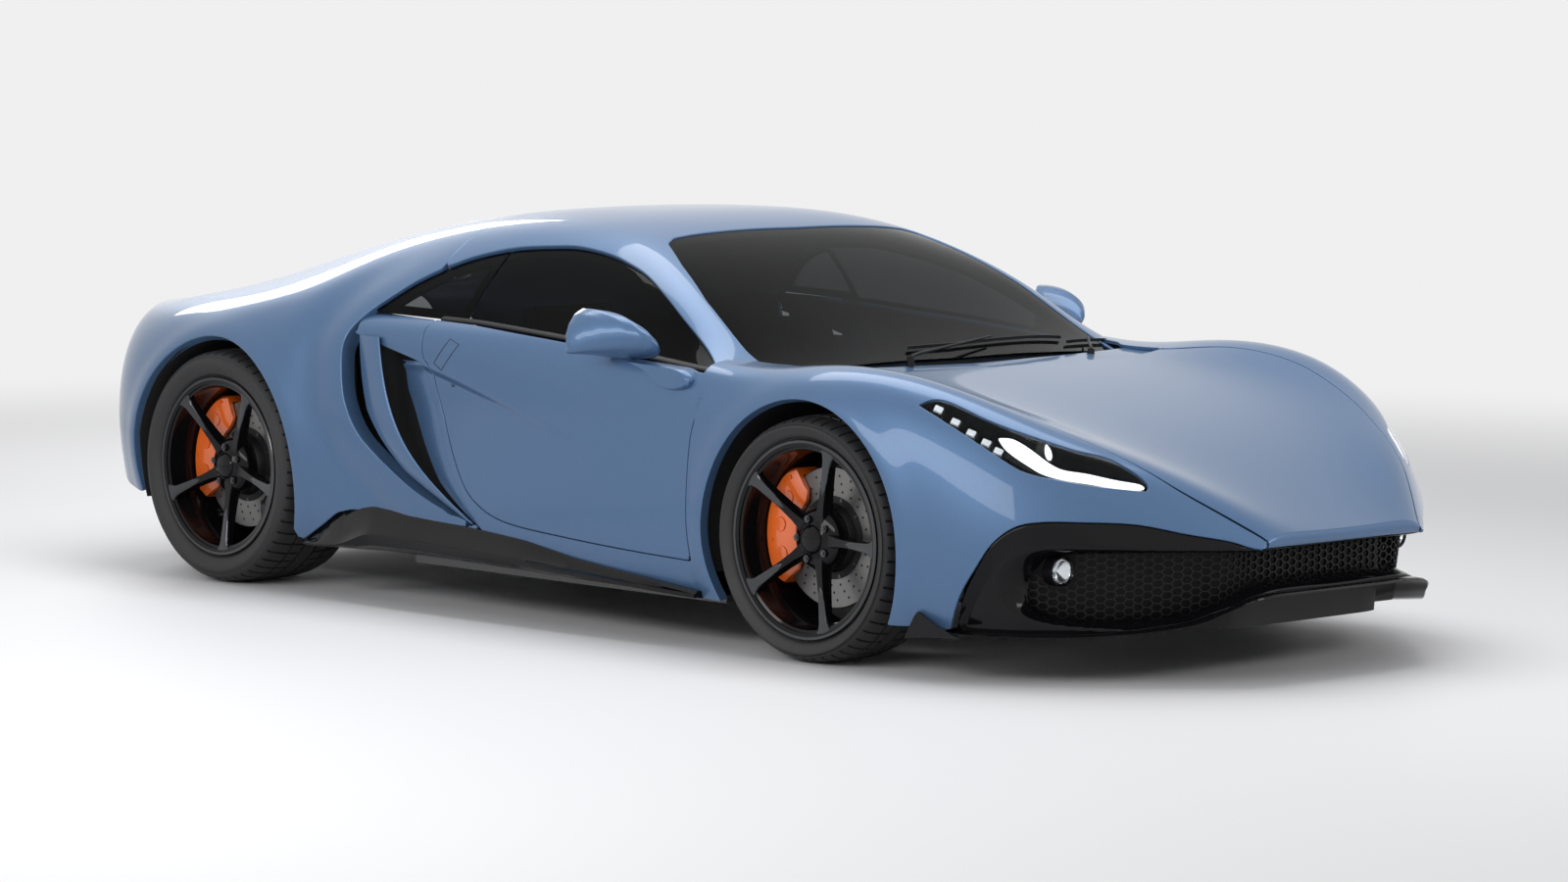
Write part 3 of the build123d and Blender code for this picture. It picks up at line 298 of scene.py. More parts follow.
def inside(points, line):
    """Signed distance of flat points to a closed line, positive inside.

    It is the distance to the nearest segment, and a count of crossings tells the side."""
    shape = points.shape[:-1]
    flat = points.reshape(-1, 2)
    best = np.full(len(flat), 1e9)
    crossings = np.zeros(len(flat), int)
    for start, end in zip(line, np.roll(line, -1, axis=0)):
        step = end - start
        length = step @ step
        if length < 1e-12:
            continue
        share = np.clip((flat - start) @ step / length, 0, 1)
        best = np.minimum(best, np.linalg.norm(flat - start - share[:, None] * step, axis=1))
        if step[1] != 0:
            between = (start[1] > flat[:, 1]) != (end[1] > flat[:, 1])
            meet = start[0] + (flat[:, 1] - start[1]) * step[0] / step[1]
            crossings += between & (flat[:, 0] < meet)
    return np.where(crossings % 2 == 1, best, -best).reshape(shape)


def side_room(points, line):
    """Room inside a closed line for points seen from the side, as X and Z."""
    return inside(points[..., [0, 2]], line)


def top_room(points, line):
    """Room inside a closed line for points seen from above, as X and distance from the centre line."""
    return inside(np.stack([points[..., 0], np.abs(points[..., 1])], -1), line)


def trimmed(points, normals, keep):
    """The part of a grid where keep is above 0, as triangles cut straight where keep changes sign."""
    rows, columns = keep.shape
    index = np.arange(rows * columns).reshape(rows, columns)
    a, b, c, d = index[:-1, :-1], index[1:, :-1], index[1:, 1:], index[:-1, 1:]
    triangles = np.concatenate([np.stack(three, -1).reshape(-1, 3) for three in ((a, d, c), (a, c, b))])
    points, normals, keep = points.reshape(-1, 3), normals.reshape(-1, 3), keep.reshape(-1)
    keep = np.where(np.abs(keep) < 1e-7, 1e-7, keep)
    good = keep[triangles] > 0
    count = good.sum(1)
    whole = triangles[count == 3]
    mixed = triangles[(count == 1) | (count == 2)]
    good = keep[mixed] > 0
    lone = np.where(good.sum(1)[:, None] == 1, good, ~good).argmax(1)
    order = (lone[:, None] + np.arange(3)) % 3
    mixed = np.take_along_axis(mixed, order, 1)
    edges = np.concatenate([mixed[:, [0, 1]], mixed[:, [0, 2]]])
    edges = np.sort(edges, axis=1)
    unique, where = np.unique(edges, axis=0, return_inverse=True)
    where = where.reshape(-1)
    low, high = keep[unique[:, 0]], keep[unique[:, 1]]
    share = (low / (low - high))[:, None]
    new_points = points[unique[:, 0]] * (1 - share) + points[unique[:, 1]] * share
    new_normals = normals[unique[:, 0]] * (1 - share) + normals[unique[:, 1]] * share
    first = len(points) + where[:len(mixed)]
    second = len(points) + where[len(mixed):]
    alone = keep[mixed[:, 0]] > 0
    tips = np.stack([mixed[alone, 0], first[alone], second[alone]], 1)
    rest = ~alone
    quads = np.concatenate([
        np.stack([first[rest], mixed[rest, 1], mixed[rest, 2]], 1),
        np.stack([first[rest], mixed[rest, 2], second[rest]], 1)])
    faces = np.concatenate([whole, tips, quads])
    used, faces = np.unique(faces, return_inverse=True)
    all_points = np.concatenate([points, new_points])[used]
    all_normals = np.concatenate([normals, new_normals])[used]
    all_normals /= np.linalg.norm(all_normals, axis=1, keepdims=True)
    return all_points, all_normals, faces.reshape(-1, 3)


def rim_edges(faces, count):
    """Directed edges that only one triangle has."""
    edges = np.concatenate([faces[:, [0, 1]], faces[:, [1, 2]], faces[:, [2, 0]]])
    return edges[~np.isin(edges[:, 0] * count + edges[:, 1], edges[:, 1] * count + edges[:, 0])]


def shell(points, normals, faces, wall, roll, deep=None):
    """A closed panel: the outer face, an edge rolled over by a quarter turn, and the inner face.

    Where deep is given, the edge goes down as a return of that depth before it comes back to the wall."""
    count = len(points)
    edges = rim_edges(faces, count)
    run = points[edges[:, 1]] - points[edges[:, 0]]
    away = np.cross(run, (normals[edges[:, 0]] + normals[edges[:, 1]]) / 2)
    out = np.zeros((count, 3))
    np.add.at(out, edges[:, 0], away)
    np.add.at(out, edges[:, 1], away)
    rim = np.unique(edges)
    up, out = normals[rim], out[rim]
    out -= (out * up).sum(1, keepdims=True) * up
    out /= np.maximum(np.linalg.norm(out, axis=1, keepdims=True), 1e-9)
    rings, ring_normals = [], []
    for angle in np.radians([30, 60, 90]):
        rings.append(points[rim] - up * roll * (1 - np.cos(angle)) + out * roll * np.sin(angle))
        ring_normals.append(up * np.cos(angle) + out * np.sin(angle))
    fold = 0.0
    if deep is not None:
        fold = 0.003
        foot = points[rim] - up * deep(points[rim])[:, None]
        rings += [foot + out * roll, foot + out * (roll - fold)]
        ring_normals += [out, -out]
    inner_points = points - normals * wall
    inner_points[rim] += out * (roll - fold)
    place = np.full(count, -1)
    place[rim] = np.arange(len(rim))
    start, end = place[edges[:, 0]], place[edges[:, 1]]
    starts = 2 * count + len(rim) * np.arange(len(rings))
    levels = [rim, *(ring_start + np.arange(len(rim)) for ring_start in starts), count + rim]
    strips = []
    for last, ring in zip(levels, levels[1:]):
        strips.append(np.stack([last[start], ring[start], ring[end]], 1))
        strips.append(np.stack([last[start], ring[end], last[end]], 1))
    all_points = np.concatenate([points, inner_points] + rings)
    all_normals = np.concatenate([normals, -normals] + ring_normals)
    all_faces = np.concatenate([faces, count + faces[:, ::-1]] + strips)
    return all_points, all_normals, all_faces


def cut_panel(points, normals, keep, wall, roll, deep=None):
    """The closed panel of a grid's part where keep is above 0."""
    return shell(*trimmed(points, normals, keep), wall, roll, deep)


def grid_of(table, x_low, x_high, t_low, t_high, step, whole):
    """A grid of the surface, the left half alone or the whole width."""
    x = np.linspace(x_low, x_high, max(2, int((x_high - x_low) / step) + 1))
    t = np.linspace(t_low, t_high, max(2, int((t_high - t_low) * 1.7 / step) + 1))
    left = skin(table, x, t)
    if not whole:
        return left
    mirrored = left[:, -2::-1] * (1, -1, 1)
    return np.concatenate([left, mirrored], axis=1)


def other_side(points, normals, faces):
    """The mirror image of a part, on the right."""
    return points * (1, -1, 1), normals * (1, -1, 1), faces[:, ::-1]


def flare(points, normals, amount):
    """Points moved out along their normals by amount, and the new grid's own normals."""
    moved = points + normals * amount[..., None]
    return moved, outward(moved)


def bump(distance, width):
    """A smooth rise of height 1 about distance 0: the bell curve."""
    return np.exp(-(distance / width) ** 2)


def joined(*parts):
    """Arrays of points, normals and faces of several pieces as one."""
    points = np.concatenate([part[0] for part in parts])
    normals = np.concatenate([part[1] for part in parts])
    starts = np.cumsum([0] + [len(part[0]) for part in parts[:-1]])
    faces = np.concatenate([part[2] + start for part, start in zip(parts, starts)])
    return points, normals, faces


def both(part):
    """A part and its mirror image as one."""
    return joined(part, other_side(*part))


def panel_piece(name, part, material, body, *nodes):
    """A finished panel that rides on a body and stands for its CAD nodes."""
    points, normals, faces = part
    mesh = bpy.data.meshes.new(name)
    mesh.from_pydata(points.tolist(), [], faces.tolist())
    mesh.polygons.foreach_set("use_smooth", np.ones(len(mesh.polygons), bool))
    mesh.normals_split_custom_set_from_vertices(normals.tolist())
    piece = linked(name, mesh, material)
    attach(piece, body)
    if nodes:
        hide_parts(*nodes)


def from_axle(points, x, z):
    """Distance of points from an axle, seen from the side."""
    return np.hypot(points[..., 0] - x, points[..., 2] - z)


# Upper body: one moulding from the screen pillars over the roof to the tail, in blue lacquered composite.
# It opens for the screen, the side windows and intakes, the wheels, the engine lid and the tail panel.
hull, canopy = net(hull_rows), net(canopy_rows)
nose_x = f + 1.115
front_arch_r, rear_arch_r = 0.372, 0.388
# Thickness of a moulded panel, and half of each gap between panels
sheet = 0.004
half_seam, half_lid_gap, half_bonnet_gap, half_door_gap = 0.0035, 0.0045, 0.0033, 0.0036
# The opening over each door, from the screen pillar round the intake to the sill, seen from the side
hoop_line = outline(
    (-395, 746), (-463, 787), (-616, 873), (-733, 935), (-850, 986), (-961, 1018), (-1059, 1039),
    (-1189, 1053), (-1299, 1050), (-1410, 1042), (-1509, 1024), (-1601, 996), (-1705, 944), (-1773, 893),
    (-1847, 829), (-1884, 765), (-1871, 676), (-1841, 573), (-1773, 475), (-1620, 370), (-1480, 307),
    (-1289.95, 256), (-1289.95, 256), (-1289.95, 100), (-1289.95, 100), (-395, 100), (-395, 100),
    (-395, 746), per_span=8, rear=-1450)
screen_line = ahead([
    (-255, -200), (-255, 0), (-270, 400), (-300, 700), (-420, 693), (-630, 647), (-800, 580), (-925, 515),
    (-948, 470), (-935, 300), (-925, 0), (-925, -200)])
lid_line = outline(
    (-1710, -200), (-1710, 300), (-1740, 375), (-1840, 400), (-2500, 400), (-2820, 425), (-2870, 400),
    (-2880, 330), (-2880, -200), (-2880, -200), (-1710, -200))
belt_line = ahead([
    (300, 742), (-395, 746), (-1000, 802), (-1390, 828), (-1845, 842), (-1990, 842), (-1990, 0), (300, 0)],
    rear=-1450)
skirt_top = ahead([
    (-2048, 172), (-2000, 200), (-1960, 222), (-1895, 262), (-1840, 276), (-1800, 278), (-1760, 277),
    (-1500, 264), (-1100, 234)]).T
tail_mouth = ahead([
    (-3140, 700), (-3140, 330), (-3000, 0), (-3440, 0), (-3440, 700)])
plain = grid_of(canopy, r - 0.785, f - 0.300, 0.0, 1.0, 0.016, True)
hoop_room = side_room(plain, hoop_line)
rear_wheel = from_axle(plain, r, rear_tyre_r) - rear_arch_r
low_side = np.clip((1.05 - plain[..., 2]) / 0.25, 0, 1)
behind_hoop = np.clip((r + 0.85 - plain[..., 0]) / 0.15, 0, 1)
arch_lip = 0.008 * bump(rear_wheel - 0.012, 0.045) * (np.abs(plain[..., 1]) > 0.6)
hollow = -0.016 * bump(hoop_room + 0.125, 0.07) * behind_hoop * low_side
moulding, normals = flare(plain, outward(plain), arch_lip + hollow)
x, y, z = moulding.transpose(2, 0, 1)
keep = np.minimum.reduce([
    -hoop_room - 0.002, -top_room(plain, screen_line) - 0.002, -top_room(plain, lid_line) - half_lid_gap,
    rear_wheel - 0.003, -side_room(plain, tail_mouth) - 0.002,
    np.where(x > f - 0.50, -side_room(plain, belt_line), 1.0)])
keep = np.where(x > r + 0.2, np.minimum(keep, z - np.interp(x, *skirt_top) + 0.006), keep)
roof_seam = r + 0.790
past_seam = np.where(z > 0.60, x - roof_seam, -1.0)


def hoop_depth(points):
    """Depth of the moulding's edge: a deep lip round the side opening and the arches, and thin elsewhere."""
    side_edge = np.abs(side_room(points, hoop_line)) < 0.012
    arch_edge = np.abs(from_axle(points, r, rear_tyre_r) - rear_arch_r) < 0.012
    return np.where(side_edge, 0.055, np.where(arch_edge, 0.030, 0.010))


for name, node, room in (("cabin_shell", "roof_frame", past_seam), ("rear_clam", "rear_body", -past_seam)):
    part = cut_panel(moulding, normals, np.minimum(keep, room - half_seam), sheet, 0.004, hoop_depth)
    panel_piece(name, part, blue_paint, "body", node)

# Engine lid: a blue panel between the buttresses that hinges at the roof.
# Five slots across it let heat out.
points = grid_of(canopy, r - 0.460, r + 0.760, 0.72, 1.0, 0.012, True)
slots = [
    np.maximum(np.abs(points[..., 0] - slot_x) - 0.030, np.abs(points[..., 1]) - 0.300)
    for slot_x in r + 0.400 - 0.120 * np.arange(5)]
keep = np.minimum.reduce([top_room(points, lid_line) - half_lid_gap, *slots])
lid_panel = cut_panel(points, outward(points), keep, sheet, 0.003)
panel_piece("engine_lid_panel", lid_panel, blue_paint, "engine_lid", "engine_lid")

# Front wings: the nose and wings are one moulding, open for the bonnet, the lamps and the wheels.
# The blue ends at the front on a line over the bumper.
bonnet_line = outline(
    (-100, -200), (-100, 655), (-100, 655), (60, 705), (195, 718), (372, 706), (507, 672), (642, 625),
    (771, 562), (885, 502), (966, 447), (1101, 325), (1101, 325), (1200, 250), (1200, 250), (1200, -200),
    (1200, -200), (-100, -200))
blue_edge = outline(
    (1200, 361), (1115, 361), (1061, 383), (993, 402), (906, 427), (811, 432), (737, 431), (683, 417),
    (636, 373), (595, 303), (548, 221), (500, 100), (500, 100), (1200, 100), (1200, 100), (1200, 361))
lamp_middle = np.array([f + 0.66, 0.70, 0.60])
lamp_along = np.array([0.80, -0.48, -0.36])
lamp_along /= np.linalg.norm(lamp_along)
lamp_normal = np.array([0.42, 0.62, 0.66])
lamp_normal -= lamp_normal @ lamp_along * lamp_along
lamp_normal /= np.linalg.norm(lamp_normal)
lamp_across = np.cross(lamp_normal, lamp_along)


def lamp_view(points):
    """Places on the plane that faces the left headlamp, along it and across it."""
    away = np.stack([points[..., 0], np.abs(points[..., 1]), points[..., 2]], -1) - lamp_middle
    return np.stack([away @ lamp_along, away @ lamp_across], -1)


def lamp_room(points, corners):
    """Room inside the curve through corners, on the plane that faces the lamp."""
    return inside(lamp_view(points), curve(*map(tuple, lamp_view(corners)), per_span=6))


lamp_corners = ahead([
    (379, 852, 715), (426, 812, 731), (548, 772, 684), (636, 724, 650), (737, 647, 611), (798, 583, 591),
    (858, 546, 555), (892, 532, 526), (899, 540, 510), (892, 553, 508), (811, 648, 521), (730, 723, 539),
    (676, 762, 553), (629, 786, 579), (554, 814, 625), (467, 838, 673), (379, 852, 715)])
scuttle = ahead([
    (-100, -100), (-100, 668), (-255, 668), (-300, 702), (-500, 735), (-500, -100)])
points = grid_of(hull, f - 0.425, nose_x, 0.0, 1.0, 0.0125, False)
front_wheel = from_axle(points, f, front_tyre_r) - front_arch_r
front_lip = 0.009 * bump(front_wheel - 0.012, 0.05) * (points[..., 1] > 0.6)
points, normals = flare(points, outward(points), front_lip)
high = points[..., 2] > 0.45
keep = np.minimum.reduce([
    -top_room(points, bonnet_line) - half_bonnet_gap, front_wheel - 0.003,
    np.where(high, -lamp_room(points, lamp_corners) - 0.002, 1.0),
    np.where(high, -top_room(points, scuttle), 1.0),
    -side_room(points, blue_edge) - 0.001, points[..., 0] - (f - 0.425) - 0.0045])


def arch_depth(points):
    """Depth of a wing's edge: a lip at the wheel arch, and thin elsewhere."""
    arch_edge = np.abs(from_axle(points, f, front_tyre_r) - front_arch_r) < 0.012
    return np.where(arch_edge, 0.030, 0.010)


wing = cut_panel(points, normals, keep, sheet, 0.0022, arch_depth)
panel_piece("front_wings", both(wing), blue_paint, "body", "front_body")

# Bonnet: one wide panel that tapers to the nose.
# It is hinged below the screen.
points = grid_of(hull, f - 0.110, nose_x, 0.35, 1.0, 0.013, True)
keep = np.minimum(top_room(points, bonnet_line) - half_bonnet_gap, -side_room(points, blue_edge) - 0.001)
bonnet_panel = cut_panel(points, outward(points), keep, sheet, 0.0022)
panel_piece("bonnet_panel", bonnet_panel, blue_paint, "bonnet", "bonnet")

# Doors: a hollow-sided skin each, from the wing to the intake, with the glass above.
# The side is drawn in below a crease that falls forwards from the top of the intake.
door_line = outline(
    (-383, 900), (-383, 714), (-424, 619), (-439, 537), (-441, 363), (-428, 237), (-428, 237), (-665, 245),
    (-925, 259), (-1174, 280), (-1301, 321), (-1383, 385), (-1467, 500), (-1523, 618), (-1538, 703),
    (-1557, 736), (-1557, 900), (-1557, 900), (-383, 900))


def crease_depth(x, z):
    """How far the side is drawn in below the crease: smoothly, and less towards the front and the sill."""
    crease_z = np.interp(x, [r + 0.597, 0.205], [0.776, 0.532])
    under = np.clip((crease_z - z) / 0.030, 0, 1)
    share = np.clip((0.205 - x) / 0.55, 0, 1) * np.clip((z - 0.30) / 0.25, 0, 1)
    return 0.014 * under ** 2 * (3 - 2 * under) * share


def creased(points):
    """A grid of the side with the hollow below its crease, and its normals."""
    return flare(points, outward(points), -crease_depth(points[..., 0], points[..., 2]))


sides = (("left", 1), ("right", -1))
points, normals = creased(grid_of(hull, r + 0.850, f - 0.370, 0.0, 0.75, 0.010, False))
keep = np.minimum(side_room(points, door_line) - half_door_gap, side_room(points, belt_line) - 0.002)
door_thick = 0.062
door_skin = cut_panel(points, normals, keep, door_thick, 0.0025)
panel_piece("door_skin_left", door_skin, blue_paint, "door_left", "door_left")
panel_piece("door_skin_right", other_side(*door_skin), blue_paint, "door_right", "door_right")

# Side panels: the strip behind the door and the sill below it, one moulding on each side.
# Its rear edge is the front lip of the intake.
strip_line = outline(
    (-413, 900), (-413, 141), (-413, 141), (-850, 156), (-1200, 184), (-1275, 245), (-1336, 306),
    (-1426, 400), (-1495, 496), (-1549, 604), (-1566, 690), (-1574, 712), (-1840, 776), (-1850, 790),
    (-1850, 842), (-1850, 900), (-1850, 900), (-413, 900))
points, normals = creased(grid_of(hull, r + 0.560, f - 0.410, 0.0, 0.75, 0.008, False))
keep = np.minimum.reduce([
    side_room(points, strip_line) - 0.001, -side_room(points, door_line) - half_door_gap,
    side_room(points, belt_line) - 0.002])
strip = cut_panel(points, normals, keep, sheet, 0.0025, lambda points: np.full(len(points), 0.014))
panel_piece("side_strips", both(strip), blue_paint, "body", "side_panels")

# Glass: a bonded windscreen and side panes, tinted dark.
# Each side pane is in two parts, of which the front one moves with the door.
tinted_glass = toned("tinted_glass", "TexNoise", 3, (0.11, 0.12, 0.125), (0.13, 0.14, 0.145), Roughness=0.0,
                     IOR=1.13, Transmission_Weight=1.0)[0]
pane_split = r + 1.000
screen_depth, pane_depth = 0.004, 0.012


def pane(region, offset, x_low, x_high, step, whole):
    """A pane set in from the canopy by offset, cut where region of its points is above 0."""
    part = grid_of(canopy, x_low, x_high, 0.0, 1.0, step, whole)
    normals = outward(part)
    part = part - normals * offset
    return cut_panel(part, normals, region(part), sheet, 0.001)


def side_pane(sign, x_low, x_high):
    """A left side pane, ahead of the split where sign is 1 and behind it where it is -1."""
    return pane(lambda points: np.minimum.reduce([
        side_room(points, hoop_line) - 0.008, -side_room(points, belt_line) - 0.003,
        sign * (points[..., 0] - pane_split) - 0.004]), pane_depth, x_low, x_high, 0.014, False)


windscreen = pane(
    lambda points: top_room(points, screen_line) - 0.004, screen_depth, f - 0.96, f - 0.24, 0.016, True)
quarter_pane = side_pane(-1, r + 0.55, r + 1.02)
door_pane = side_pane(1, r + 0.98, f - 0.39)
panel_piece("fixed_panes", joined(windscreen, both(quarter_pane)), tinted_glass, "body", "fixed_glass")
panel_piece("door_pane_left", door_pane, tinted_glass, "door_left", "door_glass_left")
panel_piece("door_pane_right", other_side(*door_pane), tinted_glass, "door_right", "door_glass_right")


# Intake blades: two curved vanes stand in the opening behind each door and lead air inwards.
# Each is a sheet that curves from its leading edge back and inwards, with a rounded edge.
def closed_piece(name, parts, material, body, *nodes, sharp=35, mirror_too=False):
    """One piece of closed shapes, with outward faces, smooth up to an angle of sharp degrees."""
    if mirror_too:
        parts = parts + sided(parts, -1)
    faces, start = [], 0
    for shape_points, shape_faces in parts:
        faces += [[corner + start for corner in face] for face in shape_faces]
        start += len(shape_points)
    mesh = bpy.data.meshes.new(name)
    mesh.from_pydata(np.concatenate([shape_points for shape_points, _ in parts]).tolist(), [], faces)
    work = bmesh.new()
    work.from_mesh(mesh)
    bmesh.ops.remove_doubles(work, verts=work.verts, dist=1e-6)
    bmesh.ops.recalc_face_normals(work, faces=work.faces)
    work.to_mesh(mesh)
    work.free()
    mesh.polygons.foreach_set("use_smooth", np.ones(len(mesh.polygons), bool))
    mesh.set_sharp_from_angle(angle=np.radians(sharp))
    piece = linked(name, mesh, material)
    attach(piece, body)
    if nodes:
        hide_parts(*nodes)


def sided(shapes, sign):
    """Shapes as they are where sign is 1, or mirrored to the other side where it is -1."""
    return [(points * (1, sign, 1), faces) for points, faces in shapes]


def skinned(rings, round_trip=False):
    """Closed rings of equal size joined in order, the ends capped, or the last joined to the first."""
    rings = np.asarray(rings, float)
    count, size = rings.shape[:2]
    first = np.arange(count if round_trip else count - 1)[:, None] * size
    second = (first + size) % (count * size)
    here = np.arange(size)
    after = (here + 1) % size
    corners = [first + here, first + after, second + after, second + here]
    faces = np.stack(corners, -1).reshape(-1, 4).tolist()
    if not round_trip:
        faces += [list(range(size - 1, -1, -1)), list(range((count - 1) * size, count * size))]
    return rings.reshape(-1, 3), faces


def swept(section):
    """A capped solid through a section's points, each its X, Y and Z as numbers or arrays along a path."""
    return skinned(np.stack([np.stack(np.broadcast_arrays(*point), -1) for point in section], 1))


def smooth_line(points, count):
    """Evenly shared points along the cubic B-spline of a few 3-D points, which starts and ends on them."""
    points = np.asarray(points, float)
    return weights(len(points), np.linspace(0, 1, count)) @ points


def turned(profile, count, centre=(0, 0), face=0.0):
    """A closed outline of radius and Y, in millimetres, turned about a line along Y through centre.

    Y is counted from face, which is in metres like centre."""
    radius, y = np.array(profile).T / 1000
    angles = np.linspace(0, 2 * np.pi, count, endpoint=False)[:, None]
    rings = np.stack([
        centre[0] + radius * np.cos(angles), np.broadcast_to(face + y, (count, len(y))),
        centre[1] + radius * np.sin(angles)], -1)
    return skinned(rings, True)


def block(centre, half, turn=None):
    """A box by its centre, half sizes and, where it is turned, its three axes as rows."""
    corners = np.array([(x, y, z) for x in (-1, 1) for y in (-1, 1) for z in (-1, 1)]) * half
    if turn is not None:
        corners = corners @ np.asarray(turn)
    faces = [[0, 1, 3, 2], [4, 6, 7, 5], [0, 4, 5, 1], [2, 3, 7, 6], [0, 2, 6, 4], [1, 5, 7, 3]]
    return corners + centre, faces


def rod(start, end, radius, count=16, tip=None):
    """A straight round bar, tapering to the radius tip where one is given."""
    start, end = np.asarray(start, float), np.asarray(end, float)
    along = (end - start) / np.linalg.norm(end - start)
    side = np.cross(along, (0, 0, 1) if abs(along[2]) < 0.9 else (1, 0, 0))
    side /= np.linalg.norm(side)
    up = np.cross(along, side)
    angles = np.linspace(0, 2 * np.pi, count, endpoint=False)[:, None]
    ring = np.cos(angles) * side + np.sin(angles) * up
    return skinned([start + ring * radius, end + ring * (radius if tip is None else tip)])


def surface_y(table, x, z):
    """Half width of a surface at places x along the car and heights z."""
    lines = skin(table, np.asarray(x, float), np.linspace(0, 1, 240))
    return np.array([np.interp(height, line[:, 2], line[:, 1]) for height, line in zip(z, lines)])


def surface_z(table, x, y):
    """Height of a surface at places x along the car and distances y from the centre line."""
    lines = skin(table, np.asarray(x, float), np.linspace(0, 1, 240))
    return np.array([np.interp(-abs(width), -line[:, 1], line[:, 2]) for width, line in zip(y, lines)])


def vane(leading, width, ends):
    """A sheet of some width that curves back and inwards from its leading edge, in thin rounded sections."""
    edge = smooth_line(leading, 48)
    size = np.interp(np.linspace(0, 1, 48), [0, 0.3, 0.75, 1], [ends, 1, 0.75, 0.12])
    share = np.array([0, 0.01, 0.03, 0.08, 0.2, 0.35, 0.5, 0.65, 0.82, 1.0])
    path = np.stack([-share, -0.14 * share ** 2], -1) * width
    across = np.gradient(path, axis=0)[:, ::-1] * (-1, 1)
    across /= np.linalg.norm(across, axis=1, keepdims=True)
    half = 0.0045 * np.sqrt(np.minimum(1, 0.02 + share / 0.08))[:, None]
    section = np.concatenate([path + across * half, (path - across * half)[::-1]])
    rings = edge[:, None] + np.concatenate([section, np.zeros((len(section), 1))], 1) * size[:, None, None]
    return skinned(rings)


vane_edge = ahead([
    (-1735, 893, 775), (-1715, 900, 660), (-1650, 912, 530), (-1555, 915, 425), (-1440, 908, 340),
    (-1315, 898, 266)])
spots = np.array([(x, z) for x, z in strip_line if r + 0.86 < x < r + 1.165 and 0.25 < z < 0.714])
skin_y = surface_y(hull, spots[:, 0], spots[:, 1]) - crease_depth(*spots.T)
strip_edge = np.stack([spots[:, 0] + 0.004, skin_y - 0.006, spots[:, 1]], -1)
vanes = [vane(vane_edge, 0.125, 0.8), vane(strip_edge[::-1], 0.125, 0.8)]
closed_piece("intake_vanes", vanes, blue_paint, "body", mirror_too=True, sharp=60)


# Finishes of the black parts: gloss lacquer on the trim, and a satin moulded black beneath it.
# Each has a faint cloud in its colour and roughness, and some have a fine raised grain.
def finish(name, colour, metallic, roughness, coat=0.0, grain=0.0, grain_size=400.0, tone=0.25, shine=0.5):
    """A finish whose colour runs both ways from its mean by tone, and whose roughness runs with it."""
    dark = [value * (1 - tone) for value in colour]
    light = [min(1, value * (1 + tone)) for value in colour]
    material, tree, shader, cloud = toned(
        name, "TexNoise", 9, dark, light, Metallic=metallic, Specular_IOR_Level=shine, Coat_Weight=coat)
    put(cloud, Detail=5)
    smooth, rough = roughness * 0.85, min(1, roughness * 1.2)
    spread = add(tree, "MapRange", cloud.outputs["Fac"], To_Min=smooth, To_Max=rough)
    tree.links.new(spread.outputs["Result"], shader.inputs["Roughness"])
    if grain:
        grained(tree, shader, grain_size, grain)
    return material


gloss_black = finish("gloss_black", (0.004, 0.004, 0.005), 0.0, 0.09, shine=0.2)
satin_black = finish("satin_black", (0.008, 0.008, 0.009), 0.0, 0.45, grain=0.12, shine=0.25)

# Side skirts: gloss black composite blades that stand out below each sill and kick up before the rear wheel.
# The section runs from the body down and out to a sharp edge, then under to the floor.
skirt_rows = ahead([
    # X, top Z, edge Z, underside Z, edge Y
    (-2048, 172, 156, 146, 925),
    (-2000, 200, 157, 146, 935),
    (-1960, 222, 158, 146, 940),
    (-1895, 262, 162, 147, 944),
    (-1840, 276, 170, 149, 946),
    (-1780, 278, 192, 152, 949),
    (-1720, 276, 210, 154, 950),
    (-1500, 264, 206, 156, 950),
    (-1100, 234, 188, 150, 946),
    (-891, 201, 168, 146, 940),
    (-600, 172, 156, 143, 930),
    (-396, 154, 147, 138, 912)])
x_at = np.interp(np.linspace(0, 1, 90), np.linspace(0, 1, len(skirt_rows)), skirt_rows[:, 0])
levels = np.stack([np.interp(x_at, skirt_rows[:, 0], column) for column in skirt_rows[:, 1:].T])
levels[:, 4:-4] = [np.convolve(line, np.ones(9) / 9, "valid") for line in levels]
top, edge, under, reach = levels
skirt_section = [
    (0.850, top + 0.004), (0.898, top + 0.004), (0.906, top - 0.004),
    (reach - 0.018, edge + (top - edge) * 0.30), (reach - 0.003, edge + 0.004), (reach, edge - 0.001),
    (reach - 0.004, edge - 0.007), (reach - 0.020, under + (edge - under) * 0.35), (0.885, under),
    (0.800, under - 0.004), (0.800, 0.141), (0.800, 0.150)]
sill_blade = swept([(x_at, y, z) for y, z in skirt_section])
closed_piece("sill_blades", [sill_blade], gloss_black, "body", "side_skirts", mirror_too=True, sharp=28)

# Front lower body: a gloss black wall from wing to wing under the blue nose, with one wide mouth in it.
# It is a surface over the distance along the bumper and height, pressed in round the mouth.
wall_rows = np.array([
    # along from the centre line, X ahead of the front axle, Y, lower lip Z
    (0, 1108, 0, 243), (330, 1104, 326, 243), (395, 1082, 384, 216), (509, 1014, 474, 170),
    (660, 918, 590, 150), (835, 795, 712, 137), (972, 690, 800, 132), (1085, 592, 850, 130),
    (1200, 488, 872, 130)]) / 1000
steps = np.linspace(0, wall_rows[-1, 0], 240)
half_wall = np.stack([np.interp(steps, wall_rows[:, 0], column) for column in wall_rows[:, 1:].T], -1)
whole_wall = np.concatenate([half_wall[:0:-1] * (1, -1, 1), half_wall])
whole_wall = np.pad(whole_wall, ((12, 12), (0, 0)), mode="reflect", reflect_type="odd")
soft = np.hanning(25) / np.hanning(25).sum()
wall_x, wall_y, wall_foot = (np.convolve(column, soft, "valid")[239:] for column in whole_wall.T)
wall_x = wall_x + f
wall_way = np.gradient(np.stack([wall_x, wall_y]), axis=1)
